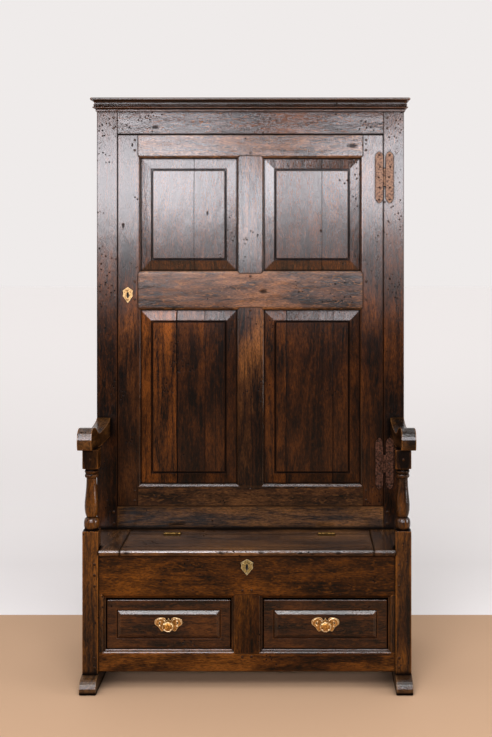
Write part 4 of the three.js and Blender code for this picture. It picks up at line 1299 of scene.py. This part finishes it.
pull_brass = old_brass("cast_brass_pulls", "#c29250", "#5e3d1a", 0.30, "#fbe0ae")
finish_in(pull_brass, "drawer_pull_left", "drawer_pull_right")
door_keyhole, seat_keyhole = (-0.4335, 0.0335, 1.2879), (0.0, -0.2424, 0.403)
plate_brass = old_brass(
    "worn_brass_door_plate", "#cfae7c", "#84643a", 0.55, "#ecd2a4", door_keyhole
)
finish_in(plate_brass, "door_escutcheon")
dull_brass = old_brass("dull_brass_seat", "#a0905e", "#1e180e", 0.34, "#e6daae", seat_keyhole)
finish_in(dull_brass, "seat_escutcheon")
finish_in(
    old_brass("worn_brass_lid_hinges", "#7d6034", "#2a1c0c", 0.42),
    "lid_hinge_fixed_left",
    "lid_hinge_fixed_right",
    "lid_hinge_leaf_left",
    "lid_hinge_leaf_right",
)

# Pins, studs and rosettes
# Small round pins hold the escutcheons. Each pull has a raised rim and two studs on either
# wing, and on its knob a ring, four beads, and eight petals round a boss.
pin_radius, pin_height, pin_sunk = 0.0016, 0.75, 0.0001
bpy.ops.object.select_all(action="DESELECT")
bpy.ops.mesh.primitive_uv_sphere_add(segments=14, ring_count=8, radius=pin_radius)
pin = bpy.context.object
open_faces(pin, lambda face: True)
bpy.ops.mesh.bisect(plane_co=(0, 0, 0), plane_no=(0, 0, 1), use_fill=True, clear_inner=True)
bpy.ops.mesh.select_all(action="SELECT")
bpy.ops.transform.resize(value=(1, 1, pin_height), center_override=(0, 0, 0))
bpy.ops.transform.translate(value=(0, 0, -pin_sunk))
bpy.ops.object.mode_set(mode="OBJECT")

# A petal is 8.6 mm long, and narrow and low at the end that the boss covers
petal_from_pin = (2.7, 1.75, 1.2)
narrow_end, neck_at, neck_size = 0.0018, 0.003, (1, 0.45, 0.7)
petal = twin(pin)
open_faces(petal, lambda face: True)
bpy.ops.transform.resize(value=petal_from_pin, center_override=(0, 0, 0))
bpy.ops.object.mode_set(mode="OBJECT")
open_faces(petal, lambda face: face.center.x < -narrow_end)
bpy.ops.transform.resize(value=neck_size, center_override=(-neck_at, 0, 0))
bpy.ops.object.mode_set(mode="OBJECT")

# The rim of a wing is a ring cut off below, and the ring of the knob is the same one
# flattened to the knob's oval
rim_radius, rim_half_thickness = 0.0160, 0.0013
cut_off_at, knob_oval = -0.003, (1.06, 0.88, 0.9)
bpy.ops.object.select_all(action="DESELECT")
bpy.ops.mesh.primitive_torus_add(
    major_segments=44,
    minor_segments=8,
    major_radius=rim_radius,
    minor_radius=rim_half_thickness,
)
wing_rim = bpy.context.object
knob_ring = twin(wing_rim)
open_faces(wing_rim, lambda face: True)
bpy.ops.mesh.bisect(
    plane_co=(0, cut_off_at, 0), plane_no=(0, 1, 0), use_fill=True, clear_inner=True
)
bpy.ops.object.mode_set(mode="OBJECT")
open_faces(knob_ring, lambda face: True)
bpy.ops.transform.resize(value=knob_oval, center_override=(0, 0, 0))
bpy.ops.object.mode_set(mode="OBJECT")

pin_iron = old_iron("rusty_iron_pins", "#6a2f16", "#3a1a0e", 0.5)
door_plate, seat_plate = (-0.4335, 0.0332, 1.2879), (0.0, -0.2428, 0.403)
door_pins = ((0, 0.017), (0, -0.017))
seat_pins = ((-0.013, 0.012), (0.013, 0.012), (0, -0.019))
for name, plate, offsets, body, slot, metal in (
    ("door_plate_pins", door_plate, door_pins, "door", "brass", pin_iron),
    ("seat_plate_pins", seat_plate, seat_pins, "carcass", "brass_dull", dull_brass),
):
    places = [(plate[0] + aside, plate[1], plate[2] + up) for aside, up in offsets]
    set_out(pin, name, places, body, metal)

bright_brass = old_brass("polished_brass_studs", "#fff0c8", "#b98a4a", 0.28)
petal_brass = old_brass("cast_brass_petals", "#c98f45", "#6a451e", 0.34)
pull_aside, pull_height = 0.25925, 0.2122
plate_face, rim_face, knob_face = -0.2408, -0.2642, -0.2660
middle = ((0, 0),)
studs = ((-0.0290, -0.0030), (-0.0270, 0.0100), (0.0277, 0.0110), (0.0277, -0.0045))
rims = ((-0.0262, 0.0046), (0.0262, 0.0046))
beads = ((-0.0122, 0.0092), (0.0122, 0.0092), (-0.0100, -0.0092), (0.0100, -0.0092))
turns = [math.radians(45 * step + 22.5) for step in range(8)]
petals = [(0.0066 * math.cos(turn), 0.0060 * math.sin(turn)) for turn in turns]
pull_pieces = (
    # name, model, places aside and up from the knob's middle, face, brass, turns, size
    ("studs", pin, studs, plate_face, bright_brass, None, 1.9),
    ("wing_rims", wing_rim, rims, plate_face, bright_brass, (0, 0), 1.0),
    ("ring", knob_ring, middle, rim_face, bright_brass, None, 1.0),
    ("beads", pin, beads, rim_face, bright_brass, None, 2.0),
    ("petals", petal, petals, knob_face, petal_brass, [-turn for turn in turns], 1.0),
    ("boss", pin, middle, knob_face, petal_brass, None, 1.6),
)
for side, hand in ((-1, "left"), (1, "right")):
    for name, model, offsets, face, brass, turned, size in pull_pieces:
        places = [(side * pull_aside + aside, face, pull_height + up) for aside, up in offsets]
        set_out(
            model, f"pull_{name}_{hand}", places, f"drawer_{hand}", brass, turned, size
        )
for model in (pin, petal, wing_rim, knob_ring):
    bpy.data.objects.remove(model)
